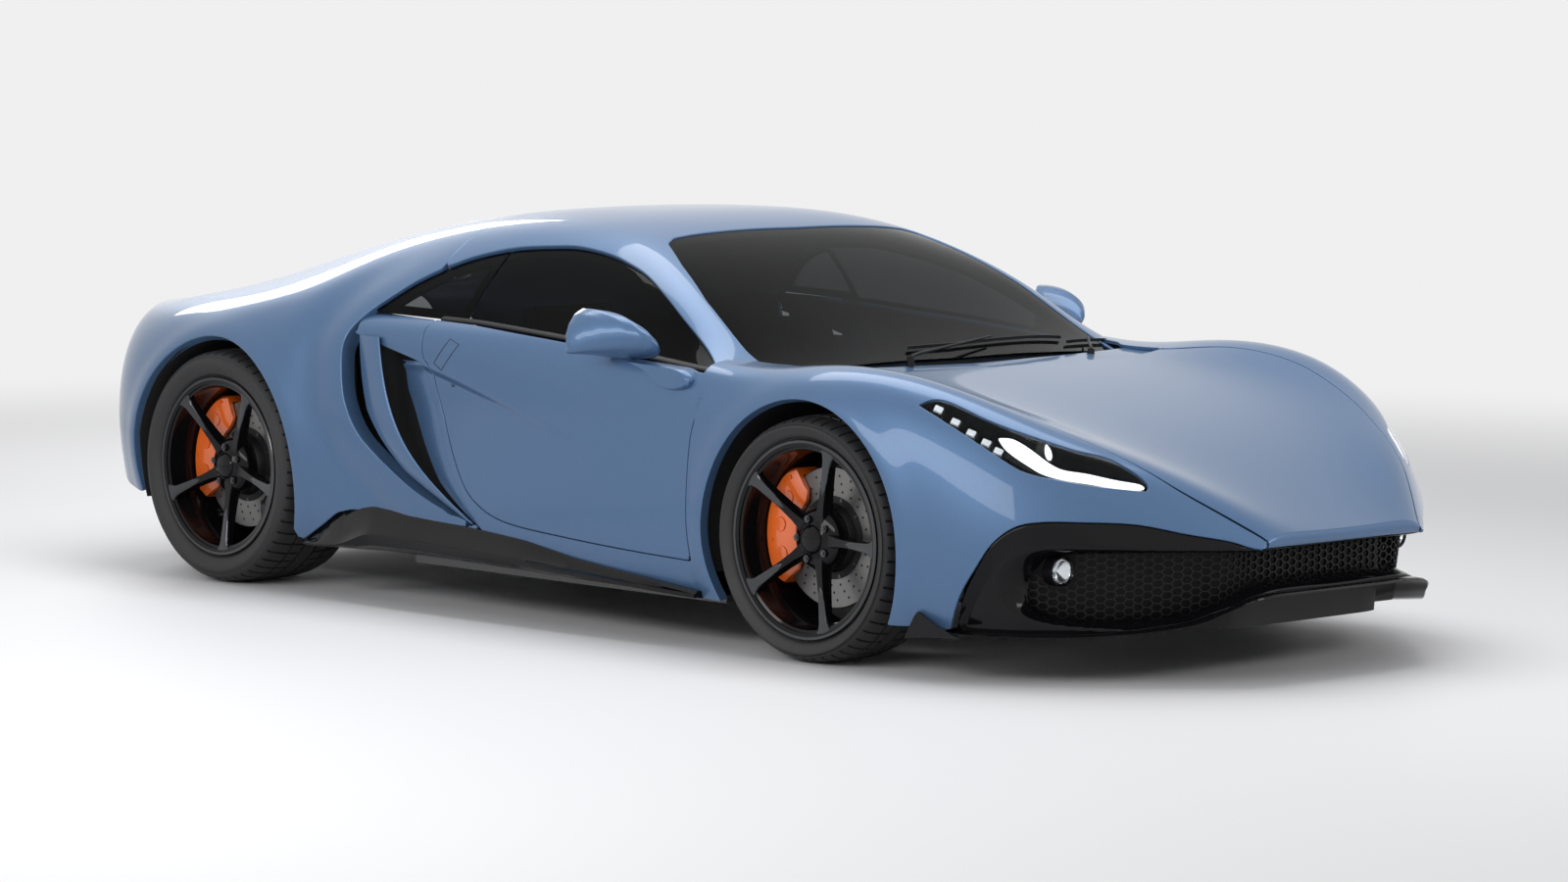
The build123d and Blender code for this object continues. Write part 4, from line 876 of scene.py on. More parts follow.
wall_way /= np.linalg.norm(wall_way, axis=0)


def wall_point(s, z, depth):
    """A point of the bumper, which leans in downwards, at distance s along it, pressed in by depth."""
    far = np.abs(s)
    lean = 0.030 * np.clip((0.36 - z) / 0.2, 0, 1.2) * np.clip((far - 0.25) / 0.2, 0, 1)
    inwards = depth + lean
    x = np.interp(far, steps, wall_x) - np.interp(far, steps, wall_way[1]) * inwards
    y = np.interp(far, steps, wall_y) + np.interp(far, steps, wall_way[0]) * inwards
    return np.stack([x, np.sign(s) * y, z + 0 * inwards], -1)


# The mouth and the edge of the slope round it: distance from the centre line and Z
mouth_line = curve(
    (-300, 269), (0, 269), (232, 266), (329, 256), (415, 228), (469, 200), (541, 182), (632, 171),
    (736, 166), (840, 169), (904, 179), (941, 200), (952, 232), (943, 275), (918, 312), (882, 335),
    (739, 344), (556, 346), (281, 347), (0, 350), (-300, 350), (-300, 350), (-300, 269), per_span=8) / 1000
frame_line = curve(
    (-300, 246), (0, 246), (276, 247), (401, 208), (483, 165), (637, 150), (814, 156), (942, 173),
    (1010, 205), (1037, 255), (1022, 307), (985, 340), (930, 356), (868, 360), (739, 358), (556, 356),
    (281, 355), (0, 357), (-300, 357), (-300, 357), (-300, 246), per_span=8) / 1000
mouth_depth = 0.050
blue_foot = np.array([(x, z) for x, z in blue_edge if f + 0.500 <= x <= f + 1.115 and z > 0.102])
blue_foot = blue_foot[np.argsort(blue_foot[:, 0])].T
s_grid, share = np.meshgrid(np.linspace(1.196, -1.196, 352), np.linspace(0, 1, 50), indexing="ij")
far = np.abs(s_grid)
low_z = np.interp(far, steps, wall_foot)
edge_z = np.interp(np.interp(far, steps, wall_x), *blue_foot)
z_grid = low_z + share * (edge_z + 0.014 - low_z)
to_frame, to_mouth = (inside(np.stack([far, z_grid], -1), line) for line in (frame_line, mouth_line))
slope = np.clip(to_frame / np.maximum(to_frame - to_mouth, 1e-4), 0, 1)
under_wing = 0.012 * np.clip((z_grid - edge_z + 0.006) / 0.010, 0, 1)
points = wall_point(s_grid, z_grid, mouth_depth * slope ** 1.3 + 0.003 + under_wing)
body_y = surface_y(hull, np.minimum(wall_x, nose_x), np.interp(wall_x, *blue_foot))
to_body = (body_y - wall_y) * np.clip((wall_y - 0.36) / 0.12, 0, 1)
near_edge = np.clip((z_grid - edge_z + 0.060) / 0.050, 0, 1)
points[..., 1] += np.sign(s_grid) * np.clip(np.interp(far, steps, to_body), -0.03, 0.03) * near_edge
bumper_wall = cut_panel(points, outward(points), -to_mouth - 0.002, sheet, 0.002)
panel_piece("bumper_wall", bumper_wall, gloss_black, "body", "front_valance")

# Nose lip: the blue paint turns down over the front edge of the bonnet and of the wings beside it.
# It is a narrow upright strip from the end of the nose down to the mouth.
nose_end = skin(hull, np.array([nose_x]), np.linspace(0.3, 1.0, 200))[0]
lip_foot = 0.361


def lip(from_y, to_y):
    """The strip between two distances from the centre line, as thin rounded sections."""
    y = np.linspace(from_y, to_y, 60)
    top = np.interp(-np.abs(y), -nose_end[:, 1], nose_end[:, 2])
    section = [
        (-0.012, top - 0.001), (-0.002, top), (0.001, top - 0.002), (0.004, (top + lip_foot) / 2),
        (0.001, lip_foot + 0.002), (-0.002, lip_foot), (-0.012, lip_foot)]
    return swept([(nose_x + x, y, z) for x, z in section])


closed_piece("bonnet_lip", [lip(-0.3115, 0.3115)], blue_paint, "bonnet", sharp=50)
closed_piece("wing_lips", [lip(0.3205, 0.331)], blue_paint, "body", mirror_too=True, sharp=50)

# Splitter: a thin gloss black blade under the bumper that rises at the centre. It runs back below each wing
# and ends in an upright fin before the wheel. A ramp behind it closes the underside as far as the floor.
blade_s = np.linspace(0, 1.180, 90)
blade_z = np.interp(blade_s, [0, 0.30, 0.347, 0.413, 0.479, 0.617, 0.815, 1.035, 1.180], [
    0.240, 0.240, 0.234, 0.206, 0.172, 0.148, 0.133, 0.130, 0.130])
blade_z = np.convolve(np.pad(blade_z, 4, mode="edge"), np.ones(9) / 9, "valid")
blade_tail = ahead([(470, 864, 126), (425, 869, 118), (385, 871, 110)])
blade_half = np.concatenate([wall_point(blade_s, blade_z, 0.0), blade_tail])
blade_half[0, 1] = 0.0
blade_path = np.concatenate([blade_half[:0:-1] * (1, -1, 1), blade_half])
blade_out = np.gradient(blade_path[:, :2], axis=0)[:, ::-1] * (1, -1)
blade_out /= np.linalg.norm(blade_out, axis=1, keepdims=True)
blade_out = np.pad(blade_out, ((0, 0), (0, 1)))
blade_section = [
    (-0.060, 0.003), (0.012, 0.004), (0.026, 0.002), (0.030, -0.001), (0.027, -0.005), (-0.060, -0.008)]
blade = skinned(np.stack([blade_path + blade_out * out + (0, 0, rise) for out, rise in blade_section], 1))
fin_line = outline(
    (575, 128), (520, 142), (470, 164), (436, 182), (436, 182), (424, 172), (402, 136), (386, 108),
    (386, 108), (480, 118), (575, 122), (575, 122), (575, 128), per_span=5)[:-1]
fin = [skinned([[(x, y, z) for x, z in fin_line] for y in (0.897, 0.903)])]
closed_piece("splitter_blade", [blade, *fin, *sided(fin, -1)], gloss_black, "body", sharp=25)
ramp_front = blade_half - 0.055 * blade_out[len(blade_half) - 1:] - (0, 0, 0.008)
front_x, ramp_y = ramp_front[:, 0], ramp_front[:, 1]
ramp_knee, ramp_rear = (
    np.stack(np.broadcast_arrays(x, ramp_y, 0.119), -1)
    for x in (np.minimum(f + 0.760, front_x - 0.020), f + 0.330))
share = np.linspace(0, 2, 24)[None, :, None]
to_knee = ramp_front[:, None] + (ramp_knee - ramp_front)[:, None] * share
to_rear = ramp_knee[:, None] + (ramp_rear - ramp_knee)[:, None] * (share - 1)
ramp = np.where(share < 1, to_knee, to_rear)[:, ::-1]
ramp = np.concatenate([ramp[:0:-1], ramp * (1, -1, 1)])
keep = np.where(np.abs(ramp[..., 1]) > 0.42, ramp[..., 0] - (f + 0.440), 1.0)
panel_piece("undertray", cut_panel(ramp, outward(ramp), keep, 0.003, 0.001), satin_black, "body")


# Bumper grille: black honeycomb of stretched cells behind the mouth, over a dark back plate.
# Each cell is a hexagonal ring.
def honeycomb(region, low, high, place, depth, wide=0.026, tall=0.021, wall_share=0.86):
    """Hexagonal rings over a flat box where region is above 0, set in space by place(across, up, depth)."""
    columns = np.arange(int((high[0] - low[0]) / wide) + 1)
    levels = np.arange(int((high[1] - low[1]) / tall) + 1)
    column, row = (part.reshape(-1) for part in np.meshgrid(columns, levels, indexing="ij"))
    centres = np.stack([low[0] + column * wide, low[1] + (row + 0.5 * (column % 2)) * tall], -1)
    centres = centres[region(centres) > 0]
    corners = np.array([(-2 / 3, 0), (-1 / 3, -0.5), (1 / 3, -0.5), (2 / 3, 0), (1 / 3, 0.5), (-1 / 3, 0.5)])
    corners = corners * (wide, tall)
    outer = (centres[:, None] + corners).transpose(2, 0, 1)
    inner = (centres[:, None] + corners * wall_share).transpose(2, 0, 1)
    rings = [place(*outer, depth), place(*outer, 0.0), place(*inner, 0.0), place(*inner, depth)]
    points = np.stack(rings, 1).reshape(-1, 3)
    cell = np.arange(len(centres))[:, None, None] * 24
    side = np.arange(6)[None, None]
    after = (side + 1) % 6
    first = np.arange(4)[None, :, None] * 6
    second = (first + 6) % 24
    first, second = cell + first, cell + second
    faces = np.stack([first + side, first + after, second + after, second + side], -1)
    return points, faces.reshape(-1, 4).tolist()


def in_mouth(points):
    """Room in the mouth, clear of the fog lamps at its ends."""
    spots = np.stack([np.abs(points[:, 0]), points[:, 1]], -1)
    fog_room = np.linalg.norm(spots - (0.868, 0.297), axis=-1) - 0.052
    return np.minimum(inside(spots, mouth_line) - 0.004, fog_room)


def on_wall(across, up, depth):
    """A place of the honeycomb behind the mouth."""
    return wall_point(across, up, mouth_depth + 0.012 + depth)


cells = honeycomb(in_mouth, (-0.962, 0.160), (0.962, 0.356), on_wall, 0.008)
back_s, back_z = np.meshgrid(np.linspace(-1.0, 1.0, 120), np.array([0.140, 0.365]), indexing="ij")
front, rear = (wall_point(back_s, back_z, mouth_depth + behind) for behind in (0.062, 0.066))
back_plate = skinned(np.stack([front[:, 0], front[:, 1], rear[:, 1], rear[:, 0]], 1))
closed_piece("mouth_honeycomb", [cells, back_plate], satin_black, "body", "front_grille", sharp=20)

# Fog lamps: a round lens in a black bezel at each end of the mouth.
# A bright bowl lies behind the lens.
clear_glass = node_material("clear_glass", Base_Color=(0.95, 0.97, 0.98, 1), Roughness=0.01, IOR=1.15,
                            Transmission_Weight=1.0)[0]
reflector = finish("reflector_chrome", (0.72, 0.73, 0.75), 1.0, 0.14)


def facing(profile, centre, direction):
    """A profile turned about Y and moved, so that Y points along direction from centre."""
    points, faces = turned(profile, 48)
    direction = np.asarray(direction, float) / np.linalg.norm(direction)
    side = np.cross(direction, (0, 0, 1))
    side /= np.linalg.norm(side)
    return points @ np.array([side, direction, np.cross(side, direction)]) + centre, faces


fog_centre, fog_way = (f + 0.745, 0.695, 0.298), (0.99, 0.14, 0.0)
for name, material, profile in (
        ("fog_bezels", gloss_black, [(33, -30), (33, 4), (36, 8), (39, 6), (40, -30)]),
        ("fog_bowls", reflector, [(0.5, -20), (26, -8), (32.5, 0), (33, -28), (0.5, -28)]),
        ("fog_lenses", clear_glass, [(0.5, 9), (18, 7), (33, 1), (33, -2), (0.5, 5)])):
    closed_piece(name, [facing(profile, fog_centre, fog_way)], material, "body", mirror_too=True)

# Wheels: cast alloy with five slim spokes, gloss black with dark milled faces, held by five nuts.
# Tyres are wide road rubber with a block tread. Discs are drilled iron on a black bell.
milled = finish("milled_alloy", (0.060, 0.062, 0.066), 1.0, 0.22, coat=0.3)
dark_steel = finish("dark_steel", (0.09, 0.09, 0.095), 1.0, 0.32)
rubber = finish("tyre_rubber", (0.016, 0.016, 0.017), 0.0, 0.62, grain=0.25, grain_size=900)
iron = finish("disc_iron", (0.22, 0.215, 0.21), 1.0, 0.36)
orange = finish("caliper_paint", (0.80, 0.135, 0.012), 0.0, 0.30, coat=1.0, tone=0.08)


def stud(centre, out, angle, y, back, front, radius, count, tip=None):
    """A rod along Y, from back behind y to front before it.

    It stands at a distance out from an axle, at an angle in degrees."""
    x, z = centre[0] + out * np.cos(np.radians(angle)), centre[1] + out * np.sin(np.radians(angle))
    return rod((x, y - back, z), (x, y + front, z), radius, count, tip)


def spoke(centre, face, angle, rows, count):
    """A bar along the radius at an angle in degrees.

    Rows give its radius, half width, depth of face and thickness in millimetres."""
    rows, angle = np.array(rows) / 1000, np.radians(angle)
    radius = np.linspace(rows[0, 0], rows[-1, 0], count)
    half, drop, thick = (np.interp(radius, rows[:, 0], column)[:, None] for column in rows[:, 1:].T)
    out = np.array([np.cos(angle), 0, np.sin(angle)])
    side = np.array([-np.sin(angle), 0, np.cos(angle)])
    back = np.array([0, -1, 0])
    middle = (centre[0], face, centre[1]) + out * radius[:, None] + back * drop
    section = [(-1.2, 1.0), (-1.05, 0.2), (-0.8, 0.0), (0.8, 0.0), (1.05, 0.2), (1.2, 1.0)]
    return skinned(np.stack([
        middle + side * half * across + back * thick * down for across, down in section], 1))


def tread(centre, width, outer):
    """A hollow tyre with ribs, lengthwise grooves, and slanting cuts between blocks at its shoulders."""
    radius, inner = centre[1], outer - width
    middle = (outer + inner) / 2
    half = width / 2 - 0.034
    grooves = np.array([-0.58, -0.20, 0.20, 0.58]) * half
    groove_sides = [grooves + step for step in (-0.0055, -0.004, 0.004, 0.0055)]
    tread_at = np.sort(np.concatenate([np.linspace(-half, half, 10), *groove_sides]))
    in_groove = (np.abs(tread_at[:, None] - grooves) < 0.0045).any(1)
    tread_r = radius - 0.006 * (tread_at / half) ** 4 - 0.007 * in_groove
    rim_r, shoulder_r = 0.255, radius - 0.0105
    wall_r = (radius + 0.271) / 2
    low_side = [
        (rim_r, inner + 0.040), (0.271, inner + 0.030), (0.276, inner + 0.016), (0.290, inner + 0.006),
        (wall_r, inner), (radius - 0.028, inner + 0.005), (radius - 0.016, inner + 0.012),
        (shoulder_r, inner + 0.020)]
    high_side = [
        (shoulder_r, outer - 0.020), (radius - 0.016, outer - 0.012), (radius - 0.022, outer - 0.0065),
        (radius - 0.024, outer - 0.0075), (radius - 0.030, outer - 0.0045), (wall_r + 0.004, outer - 0.0005),
        (wall_r, outer), (0.296, outer - 0.003), (0.294, outer - 0.0045), (0.284, outer - 0.009),
        (0.276, outer - 0.016), (0.272, outer - 0.024), (rim_r, outer - 0.030), (rim_r, outer - 0.042),
        (radius - 0.020, outer - 0.042), (radius - 0.020, inner + 0.052), (rim_r, inner + 0.052)]
    profile = np.array(low_side + list(zip(tread_r, middle + tread_at)) + high_side)
    pitches, share = 56, np.array([0, 0.39, 0.78, 0.80, 0.96, 0.98])
    angle = (np.arange(pitches)[:, None] + share[None]).reshape(-1) * 2 * np.pi / pitches
    cut = np.tile([0, 0, 0, 1, 1, 0], pitches)
    across = np.abs(profile[:, 1] - middle)
    number = np.arange(len(profile)) - len(low_side)
    on_tread = (number >= -2) & (number < len(tread_at) + 2)
    blocks = on_tread * (across > 0.24 * half) * (across < half + 0.018)
    turn = angle[:, None] + 0.10 * across / half * 2 * np.pi / 24
    r_here = profile[:, 0] - 0.0055 * cut[:, None] * blocks
    return skinned(np.stack([
        centre[0] + r_here * np.cos(turn), np.broadcast_to(profile[:, 1], turn.shape),
        centre[1] + r_here * np.sin(turn)], -1), True)


def caliper_shapes(centre, back, face, start, end, low_r, high_r, overhang, thick):
    """A block over the disc's edge from start to end, in degrees: two arms and a bridge, with its studs.

    Back and face are the disc's two sides. The block is drawn in at its ends."""
    front = face + overhang
    profile = np.array([
        (low_r + 0.012, face + 0.004), (high_r - 0.030, face + 0.004), (0.197, face + 0.002),
        (0.197, back - 0.002), (high_r - 0.030, back - 0.004), (low_r + 0.012, back - 0.004),
        (low_r + 0.012, back - thick), (high_r - 0.012, back - thick), (high_r, back - thick + 0.012),
        (high_r, front - 0.012), (high_r - 0.010, front), (low_r + 0.020, front), (low_r, front - 0.008),
        (low_r, face + 0.006)])
    share = np.linspace(0, 1, 40)[:, None]
    near_end = np.clip(0.14 - np.minimum(share, 1 - share), 0, 1) / 0.14
    size = 1 - 0.35 * near_end ** 2
    angle = np.radians(start + (end - start) * share)
    middle_r = 0.190
    radius = middle_r + (profile[:, 0] - middle_r) * size
    y = np.where(profile[:, 1] > face, face + (profile[:, 1] - face) * size, profile[:, 1])
    shapes = [skinned(np.stack([
        centre[0] + radius * np.cos(angle), y, centre[1] + radius * np.sin(angle)], -1))]
    for spot in start + (end - start) * np.array([0.22, 0.5, 0.78]):
        shapes.append(stud(centre, 0.172, spot, front, 0.01, 0.004, 0.022, 32, 0.019))
    for spot in start + (end - start) * np.array([0.07, 0.36, 0.64, 0.93]):
        shapes.append(stud(centre, 0.205, spot, front, 0.02, 0.003, 0.006, 6))
    return shapes


spoke_rows = [
    (40, 24, 40, 40), (66, 17.5, 38, 38), (90, 13.5, 34, 34), (130, 11.8, 27, 30), (180, 12.2, 18, 26),
    (225, 15, 9, 22), (243, 21, 6, 18), (250, 30, 5.5, 14)]
milled_rows = [
    (128, 0.6, 27.2, 2), (150, 8, 22.6, 2), (180, 9.4, 17.2, 2), (225, 11.8, 8.2, 2), (243, 17, 5.3, 2),
    (252, 28, 4.2, 2), (259, 42, 2.5, 2)]
wheel_table = [
    # end, axle X, tyre radius, its width and face, the disc's depth behind the hub, the first spoke's angle,
    # and the caliper's angles and radii
    ("front", f, front_tyre_r, 0.255, 0.905, 0.056, -1.0, (125, 219, 0.122, 0.232)),
    ("rear", r, rear_tyre_r, 0.315, 0.945, 0.060, -13.0, (110, 212, 0.122, 0.226)),
]
for end, axle_x, radius, width, tyre_face, depth, first, caliper_span in wheel_table:
    centre = (axle_x, radius)
    face = tyre_face - 0.014
    rim_back = 1000 * (0.038 - width)
    hub_back = face - 0.088
    disc_back, disc_face = hub_back - depth, hub_back - depth + 0.032
    disc_drop = 32 - 1000 * depth
    black_parts = [
        turned([(266, -1), (268, -4), (268, -8), (254, -14), (242, -50), (236, -80), (254, rim_back + 14),
                (268, rim_back), (245, rim_back), (227, -80), (233, -50), (240, -30), (241, -12), (248, -9),
                (249, -5), (256, -3)], 180, centre, face),
        turned([(36, -88), (36, -34), (40, -30), (50, -38), (66, -42), (80, -52), (84, -60), (84, -88)],
               72, centre, face),
        turned([(0.5, -24), (20, -24.5), (31, -27), (35, -31), (35, -50), (0.5, -50)], 60, centre, face)]
    bright_parts = [turned(
        [(257, -6), (258.5, -1.5), (265.5, -0.5), (268, -3), (266.5, -7)], 180, centre, face)]
    nut_parts = []
    for spoke_angle in first + 72 * np.arange(5):
        black_parts.append(spoke(centre, face, spoke_angle, spoke_rows, 22))
        bright_parts.append(spoke(centre, face, spoke_angle, milled_rows, 24))
        nut_parts.append(stud(centre, 0.056, spoke_angle + 36, face - 0.040, 0.020, 0.010, 0.0105, 6))
        nut_parts.append(stud(centre, 0.056, spoke_angle + 36, face - 0.040, 0, 0.013, 0.0075, 20, 0.005))
    disc_parts = [
        turned([(104, -11), (104, 0), (188, 0), (190, -2), (190, -11)], 120, centre, disc_face),
        turned([(104, 0), (104, 11), (190, 11), (190, 2), (188, 0)], 120, centre, disc_back)]
    for angle in np.radians(7.5 * np.arange(48)):
        out, way = np.array([np.cos(angle), 0, np.sin(angle)]), np.array([-np.sin(angle), 0, np.cos(angle)])
        middle = (axle_x, disc_back + 0.016, radius) + out * 0.148
        disc_parts.append(block(middle, (0.040, 0.0058, 0.0022), [out, (0, 1, 0), way]))
    bell_parts = [turned([
        (40, -10), (40, -1), (82, -1), (88, -8), (94, disc_drop + 4), (112, disc_drop + 3),
        (112, disc_drop - 2), (90, disc_drop - 2), (80, -10)], 90, centre, hub_back)]
    bell_parts += [
        stud(centre, hole_r, first + number * 15 + step * 4, disc_face, 0.004, 0.0004, 0.0036, 10)
        for number in range(24) for step, hole_r in enumerate((0.128, 0.148, 0.168))]
    bobbins = [
        stud(centre, 0.107, number * 36 + first, disc_face, 0, 0.0055, 0.0052, 16) for number in range(10)]
    caliper = caliper_shapes(centre, disc_back, disc_face, *caliper_span, 0.026, 0.036)
    wheel_parts = [
        # name, shapes, material, the kind of node it stands for, sharp edges' angle
        ("wheel_black", black_parts, gloss_black, ["rim"], 30),
        ("wheel_milled", bright_parts, milled, [], 25),
        ("wheel_nuts", nut_parts, dark_steel, [], 35),
        ("disc_plates", disc_parts, iron, ["disc"], 35),
        ("disc_bell", bell_parts, satin_black, [], 35),
        ("disc_bobbins", bobbins, dark_steel, [], 35),
        ("road_tyre", [tread(centre, width, tyre_face)], rubber, ["tyre"], 40)]
    for side, sign in sides:
        wheel = f"{end}_{side}"
        for label, shapes, material, kinds, sharp in wheel_parts:
            nodes = [f"{kind}_{wheel}" for kind in kinds]
            body = f"wheel_{wheel}"
            closed_piece(f"{label}_{wheel}", sided(shapes, sign), material, body, *nodes, sharp=sharp)
        if end == "front":
            closed_piece(f"caliper_shell_{side}", sided(caliper, sign), orange, f"knuckle_{side}",
                         f"caliper_front_{side}", sharp=40)
    if end == "rear":
        small = caliper_shapes(centre, disc_back, disc_face, -58, -18, 0.135, 0.222, 0.020, 0.030)
        closed_piece(
            "rear_caliper_shells", caliper, orange, "body", "calipers_rear", sharp=40, mirror_too=True)
        closed_piece("parking_calipers", small, dark_steel, "body", sharp=40, mirror_too=True)


# Headlamps: a deep black bowl in each wing with five small cube lamps along its outer edge, a bright blade
# below them and a round projector, all under one clear moulded cover that lies flush with the wing.
def glow(name, colour, strength):
    """A lamp's lit face: a plain glow over white plastic with a faint cloud in it."""
    return toned(name, "TexNoise", 120, [value * 0.8 for value in colour], colour, Roughness=0.3,
                 Emission_Color=(*colour, 1), Emission_Strength=strength)[0]


lamp_skin = grid_of(hull, f + 0.355, f + 0.925, 0.30, 0.92, 0.006, False)
lamp_normals = outward(lamp_skin)
high = lamp_skin[..., 2] > 0.45
in_lamp = np.where(high, lamp_room(lamp_skin, lamp_corners), -1.0)
bowl_grid = lamp_skin - lamp_normals * (0.010 + 0.070 * np.clip(in_lamp / 0.030, 0, 1) ** 0.6)[..., None]
bowl = cut_panel(bowl_grid, outward(bowl_grid), in_lamp + 0.004, 0.003, 0.001)
panel_piece("lamp_bowls", both(bowl), gloss_black, "body", "lamp_housings")
cover = cut_panel(lamp_skin - lamp_normals * 0.0015, lamp_normals, in_lamp - 0.001, 0.003, 0.0008)
panel_piece("lamp_lenses", both(cover), clear_glass, "body", "lamp_covers")
lamp_white = glow("lamp_white", (0.92, 0.95, 0.98), 1.0)
lamp_dim = glow("lamp_dim", (0.70, 0.73, 0.77), 0.12)
lamp_axes = np.array([lamp_along, lamp_across, lamp_normal])
cube_places = ahead([
    (422, 820, 702), (475, 812, 672), (522, 802, 646), (562, 788, 623), (594, 776, 602)])
cubes = [block(at - lamp_normal * 0.004, (0.0110, 0.0085, 0.0065), lamp_axes) for at in cube_places]
sockets = [block(at - lamp_normal * 0.016, (0.0145, 0.012, 0.011), lamp_axes) for at in cube_places]
bar_corners = ahead([
    (586, 769, 634), (611, 746, 632), (640, 732, 618), (671, 720, 598), (707, 704, 571), (738, 684, 555),
    (781, 642, 547), (832, 590, 532), (875, 539, 520), (882, 541, 508), (847, 589, 512), (802, 638, 521),
    (745, 693, 532), (703, 726, 546), (669, 744, 566), (633, 760, 589), (607, 768, 609), (586, 769, 634)])
keep = np.where(high, lamp_room(lamp_skin, bar_corners), -1.0)
bar = cut_panel(lamp_skin - lamp_normals * 0.010, lamp_normals, keep, sheet, 0.001)
panel_piece("lamp_blades", both(bar), lamp_white, "body")
eye_centre, eye_way = (f + 0.672, 0.668, 0.604), (1.0, -0.10, 0.05)
eye_ring = facing([(26.5, -20), (26.5, 4), (28, 7), (30, 4), (30, -20)], eye_centre, eye_way)
eye_face = facing([(0.5, 9), (10, 8), (20, 5), (26.2, 1), (26.2, -8), (0.5, -8)], eye_centre, eye_way)
closed_piece("lamp_cubes", cubes, lamp_dim, "body", mirror_too=True)
closed_piece("lamp_sockets", [*sockets, eye_ring], satin_black, "body", mirror_too=True)
closed_piece("lamp_eyes", [eye_face], lamp_white, "body", mirror_too=True)

# Door mirrors: a blue shell and a flat glass on a thin blue arm from each door.
# The shell is round at the front and flat at the back, where the glass stands.
mirror_rows = ahead([
    # rear X, front X less rear X, Y, lower Z, upper Z
    (-726, 108, 842, 770, 797), (-752, 154, 850, 765, 826), (-776, 188, 866, 762, 858),
    (-794, 200, 885, 763, 884), (-809, 193, 910, 766, 904), (-819, 167, 935, 769, 907),
    (-825, 125, 960, 773, 892), (-826, 82, 980, 776, 866), (-823, 45, 993, 780, 840),
    (-818, 20, 999, 787, 816)])
share = np.linspace(0, 1, 44)
rear_x, deep, mirror_y, low_z, high_z = (
    np.interp(share, np.linspace(0, 1, len(mirror_rows)), column)[:, None] for column in mirror_rows.T)
turn_at = np.linspace(-np.pi / 2, np.pi / 2, 26)
ring_x = np.concatenate([np.cos(turn_at) ** 0.80, np.full(9, -0.015)])
ring_z = np.concatenate([np.sin(turn_at), np.linspace(0.97, -0.97, 9)])
mirror_rings = np.stack(np.broadcast_arrays(
    rear_x + deep * ring_x, mirror_y,
    (low_z + high_z) / 2 + (high_z - low_z) / 2 * ring_z * np.where(ring_z > 0, 1.0, 0.86)), -1)
glass_rings = mirror_rings[6:38, -8:-1]
glass_front = glass_rings[:, [0, -1]] + (0.0005, 0, 0)
glass_back = glass_rings[:, [-1, 0]] - (0.0035, 0, 0)
arm_line = outline(
    (-700, 768), (-565, 762), (-475, 754), (-445, 729), (-458, 707), (-515, 697), (-585, 712), (-620, 742),
    (-700, 768), per_span=6)[:-1]
arm_middle = arm_line.mean(0)
arm_rings = [
    [(x, y, z) for x, z in arm_middle + (arm_line - arm_middle) * size]
    for y, size in ((0.838, 1.0), (0.868, 1.0), (0.886, 0.97), (0.893, 0.88))]
silvered = finish("mirror_silver", (0.82, 0.83, 0.84), 1.0, 0.03, tone=0.02)
mirror_parts = [
    # name, shape, material, whether it stands for the mirror's node, sharp edges' angle
    ("mirror_dome", skinned(mirror_rings), blue_paint, True, 50),
    ("mirror_arm", skinned(arm_rings), blue_paint, False, 40),
    ("mirror_pane", skinned(np.concatenate([glass_front, glass_back], 1)), silvered, False, 30)]
for side, sign in sides:
    for label, shape, material, stands, sharp in mirror_parts:
        nodes = [f"mirror_{side}"] if stands else []
        closed_piece(f"{label}_{side}", sided([shape], sign), material, f"door_{side}", *nodes, sharp=sharp)

# Window rubbers: a black moulded strip along each door's top edge.
# It lies under the frameless glass.
strip_x = np.linspace(r + 0.905, f - 0.420, 90)
strip_z = np.interp(strip_x, *belt_line[4:0:-1].T)
strip_y = surface_y(canopy, strip_x, strip_z + 0.004)
strip_section = [
    (-0.020, -0.004), (0.001, -0.004), (0.003, 0.001), (0.000, 0.006), (-0.010, 0.010), (-0.020, 0.010)]
rubber_strip = swept([(strip_x, strip_y + out, strip_z + up) for out, up in strip_section])
for side, sign in sides:
    closed_piece(f"window_rubber_{side}", sided([rubber_strip], sign), satin_black, f"door_{side}", sharp=50)


# Door flaps: a fine dark joint round a small flap high on each door, and a round lock below it.
# The joint lies in the surface of the skin, and both move with the door.
def on_side(spots):
    """Points on the outer skin of the side at given places along the car and heights."""
    x, z = np.transpose(spots)
    return np.stack([x, surface_y(hull, x, z) - crease_depth(x, z), z], -1)


flap_corners = ahead([(-1510, 711), (-1440, 785), (-1400, 771), (-1480, 693), (-1510, 711)])
flap_path = on_side([
    start + (end - start) * share for start, end in zip(flap_corners, flap_corners[1:])
    for share in np.linspace(0, 1, 5, endpoint=False)])
flap_joint = [rod(start, end, 0.0011, 8) for start, end in zip(flap_path, np.roll(flap_path, -1, axis=0))]
lock_points, lock_faces = turned([(4.5, -2), (5, 1.2), (6.2, 1.2), (6.6, -2)], 32)
flap_parts = [*flap_joint, (lock_points + on_side([(r + 0.990, 0.652)]), lock_faces)]
for side, sign in sides:
    closed_piece(f"door_flap_{side}", sided(flap_parts, sign), satin_black, f"door_{side}")

# Door seals: a black rubber band round the inside of each side opening, behind the glass.
# It lies just below the skin and closes the gap beside the pane.
points = grid_of(canopy, r + 0.540, f - 0.350, 0.0, 1.0, 0.011, False)
normals = outward(points)
seal_room = side_room(points, hoop_line)
keep = np.minimum.reduce([seal_room + 0.003, 0.018 - seal_room, 0.012 - side_room(points, belt_line)])
seal = cut_panel(points - normals * 0.022, normals, keep, 0.003, 0.001)
panel_piece("door_seals", both(seal), satin_black, "body")

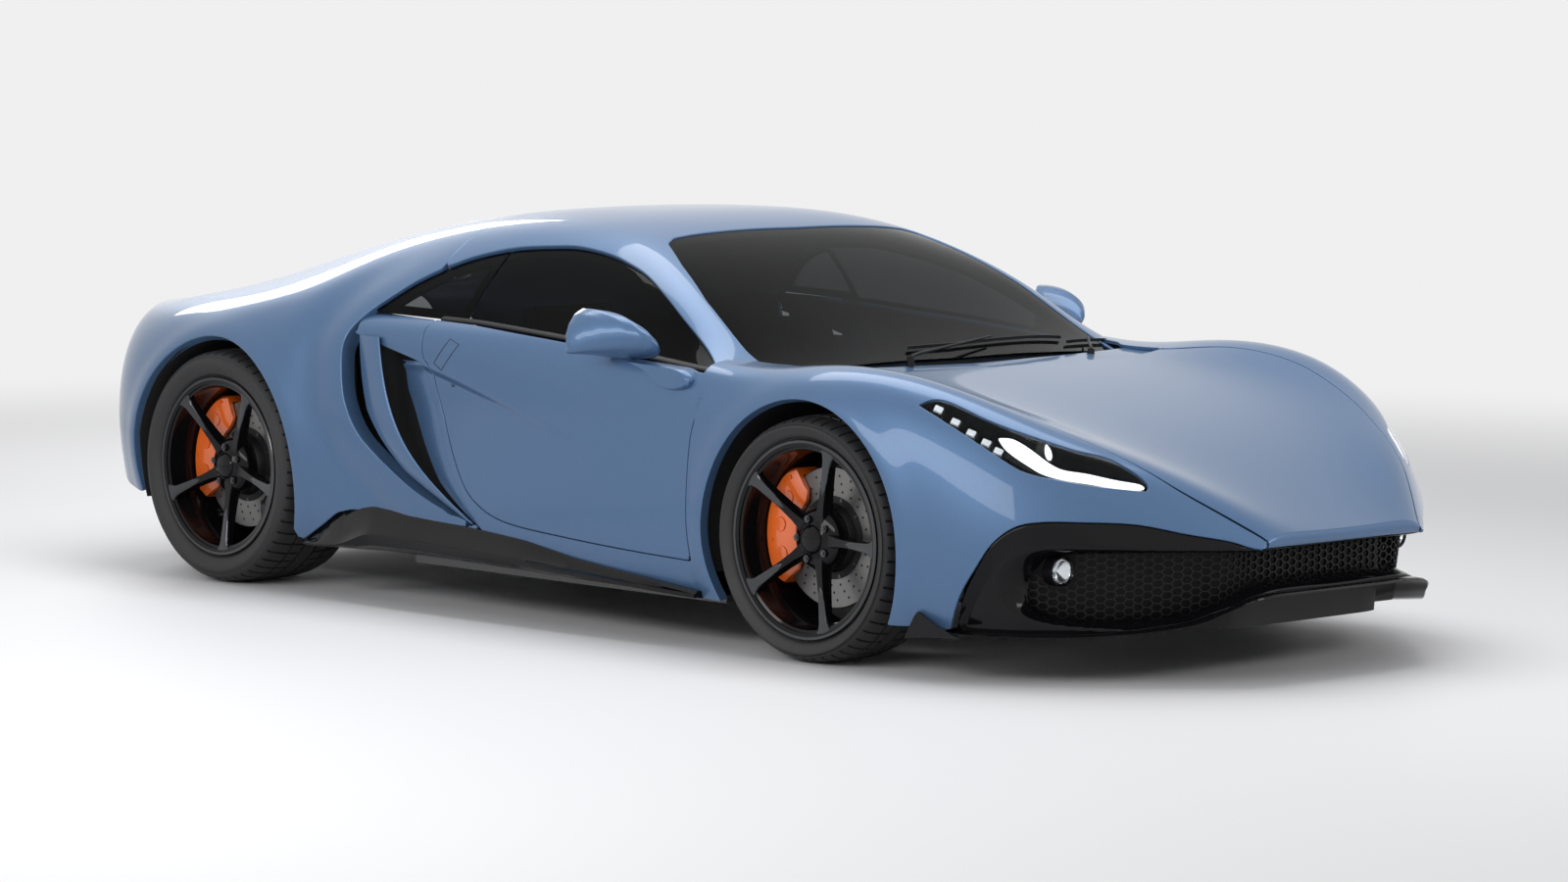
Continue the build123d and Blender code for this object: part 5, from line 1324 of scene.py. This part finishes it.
# Wipers: two black arms rest along the foot of the windscreen, each with a rubber blade.
# Each arm rises from a short pivot in the cowl.
wiper_table = [
    # pivot y, blade's inner end y and distance from the screen's foot, outer end y and distance
    (-0.25, -0.17, 0.050, 0.500, 0.075),
    (0.50, 0.50, 0.050, 0.720, 0.095),
]
wiper_parts = []
for pivot_y, first_y, first_up, last_y, last_up in wiper_table:
    blade_y = np.linspace(first_y, last_y, 24)
    foot_x = np.interp(np.abs(blade_y), screen_line[:3, 1], screen_line[:3, 0])
    blade_x = foot_x - np.linspace(first_up, last_up, 24)
    blade_z = surface_z(canopy, blade_x, blade_y) + 0.006
    section = [(0.002, -0.005), (-0.002, -0.005), (-0.003, 0.004), (0.003, 0.004)]
    wiper_parts.append(swept([(blade_x + x, blade_y, blade_z + z) for x, z in section]))
    pivot = np.array([f - 0.225, pivot_y, surface_z(canopy, [f - 0.260], [pivot_y])[0] + 0.004])
    middle = np.array([blade_x[12] + 0.002, blade_y[12], blade_z[12] + 0.010])
    elbow = pivot + (middle - pivot) * 0.12 + (0, 0, 0.012)
    wiper_parts.append(rod(pivot - (0, 0, 0.02), pivot + (0, 0, 0.012), 0.010, 20))
    wiper_parts.append(rod(pivot + (0, 0, 0.010), elbow, 0.005, 12))
    wiper_parts.append(rod(elbow, middle, 0.005, 12, 0.003))
closed_piece("wipers", wiper_parts, satin_black, "body")


# Glass borders: the black fired band round each pane, which hides its bonding.
# It lies just below the glass.
def border(room_of, offset, x_low, x_high, whole, extra, band):
    """The band of a pane whose room is between extra and band, below a pane set in by offset."""
    part = grid_of(canopy, x_low, x_high, 0.0, 1.0, 0.010, whole)
    normals = outward(part)
    room = room_of(part)
    part = part - normals * (offset + 0.0048)
    return cut_panel(part, normals, np.minimum(room - extra, band - room), 0.0015, 0.0005)


def quarter_room(points):
    """Room in the rear side pane."""
    return np.minimum.reduce([
        side_room(points, hoop_line), -side_room(points, belt_line), pane_split - points[..., 0]])


screen_band = border(
    lambda points: top_room(points, screen_line), screen_depth, f - 0.96, f - 0.24, True, 0.004, 0.040)
quarter_band = border(quarter_room, pane_depth, r + 0.55, r + 1.02, False, 0.010, 0.034)
panel_piece("glass_borders", joined(screen_band, both(quarter_band)), gloss_black, "body")

# Cabin: two shell seats in stitched leather, a padded dashboard and tunnel, and a leather-bound wheel.
# Each keeps the form of its solid, and only its finish is made here.
leather = finish("cabin_leather", (0.020, 0.019, 0.019), 0.0, 0.52, grain=0.5, grain_size=700)
trim_leather = finish("dash_leather", (0.026, 0.025, 0.025), 0.0, 0.6, grain=0.4, grain_size=500)
grip_leather = finish("grip_leather", (0.012, 0.012, 0.012), 0.0, 0.45, grain=0.5, grain_size=900)

# Tub: a moulded floor and bulkheads in bare carbon cloth under clear resin.
# The cloth has a twill weave.
carbon_weave, *_, twill = toned(
    "carbon_weave", "TexWave", 60, (0.008, 0.008, 0.009), (0.030, 0.030, 0.032), Roughness=0.38,
    Coat_Weight=0.6)
twill.wave_type = "BANDS"
twill.bands_direction = "DIAGONAL"

# Engine and running gear: a cast alloy block, forged arms and uprights.
# The liners round the wheels are moulded plastic.
cast_alloy = finish("cast_alloy", (0.30, 0.30, 0.31), 0.9, 0.55, grain=0.5, grain_size=300)
forged_alloy = finish("forged_alloy", (0.20, 0.20, 0.21), 1.0, 0.42, grain=0.2)
liner_plastic = finish("liner_plastic", (0.012, 0.012, 0.013), 0.0, 0.75, grain=0.4)

# Tail: a black mesh panel across the rear with round red lamps, and two bright pipes below it.
# The lamps' lenses are ribbed and glow a little.
red_glass = toned("red_glass", "TexWave", 30, (0.28, 0.004, 0.004), (0.42, 0.010, 0.008), Roughness=0.08,
                  Coat_Weight=1.0, Emission_Color=(0.5, 0.01, 0.01, 1), Emission_Strength=0.12)[0]
panel_low, panel_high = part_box("rear_grille")
lamp_low, lamp_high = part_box("tail_lamps")
pipe_low, pipe_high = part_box("exhaust_pipes")
panel_edge = np.array([(-0.622, 0.400), (-0.630, 0.660), (0.630, 0.660), (0.622, 0.400)])
panel_face = panel_low.x - 0.004
lamp_y, lamp_z = lamp_high.y - np.array([0.050, 0.175]), (lamp_low.z + lamp_high.z) / 2
pipe_y, pipe_z = pipe_high.y - 0.045, (pipe_low.z + pipe_high.z) / 2


def in_panel(points):
    """Room in the mesh panel: inside its edge and clear of the round lamps."""
    lamp_gap = [np.hypot(np.abs(points[:, 0]) - y, points[:, 1] - lamp_z) - 0.072 for y in lamp_y]
    return np.minimum.reduce([inside(points, panel_edge) - 0.010, *lamp_gap])


def on_panel(across, up, depth):
    """A place of the honeycomb in the tail."""
    return np.stack([panel_face + depth + 0 * across, across, up], -1)


def facing_back(profile, y, z):
    """A profile turned about X, its front to the rear of the car, at a place on the tail."""
    points, faces = turned(profile, 72)
    return points[:, [1, 0, 2]] * (-1, 1, 1) + (panel_face, y, z), faces


tail_cells = honeycomb(in_panel, (-0.620, 0.400), (0.620, 0.660), on_panel, 0.010)
tail_back = block((panel_high.x - 0.003, 0, 0.530), (0.003, 0.640, 0.150))
closed_piece("tail_mesh", [tail_cells, tail_back], satin_black, "body", "rear_grille", sharp=20)
ring = [(46, -10), (46, 24), (50, 28), (60, 22), (66, 0), (66, -10)]
lens = [(0.5, 20), (20, 19.5), (36, 17.5), (46, 12), (46, -8), (0.5, -8)]
step = [(22, 19), (22, 22.5), (27, 22.5), (27, 18)]
pipe = [(40, -60), (40, 50), (41.5, 54), (43.5, 54), (45, 50), (45, -10), (43, -30), (43, -60)]
pipe_ring = [(44, -2), (49, 0), (52, 6), (49, 10), (44, 10)]
pipe_steel = finish("pipe_steel", (0.46, 0.45, 0.44), 1.0, 0.24)
rings = [facing_back(ring, y, lamp_z) for y in lamp_y]
lenses = [facing_back(shape, y, lamp_z) for shape in (lens, step) for y in lamp_y]
pipes = [facing_back(shape, pipe_y, pipe_z) for shape in (pipe, pipe_ring)]
closed_piece("tail_lamp_rings", rings, gloss_black, "body", mirror_too=True)
closed_piece("tail_lamp_lenses", lenses, red_glass, "body", "tail_lamps", mirror_too=True)
closed_piece("tail_pipes", pipes, pipe_steel, "body", "exhaust_pipes", mirror_too=True)

# Finishes of the pieces that keep the form of their solids.
# Each stands as it is, in one material.
kept = {
    "tub": carbon_weave, "inner_liners": liner_plastic, "suspension": forged_alloy,
    "knuckle_left": forged_alloy, "knuckle_right": forged_alloy, "engine_block": cast_alloy,
    "seats": leather, "dashboard": trim_leather, "steering_wheel": grip_leather,
    "cowl": blue_paint, "diffuser": gloss_black,
}
for name, material in kept.items():
    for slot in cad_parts[name].material_slots:
        slot.material = material
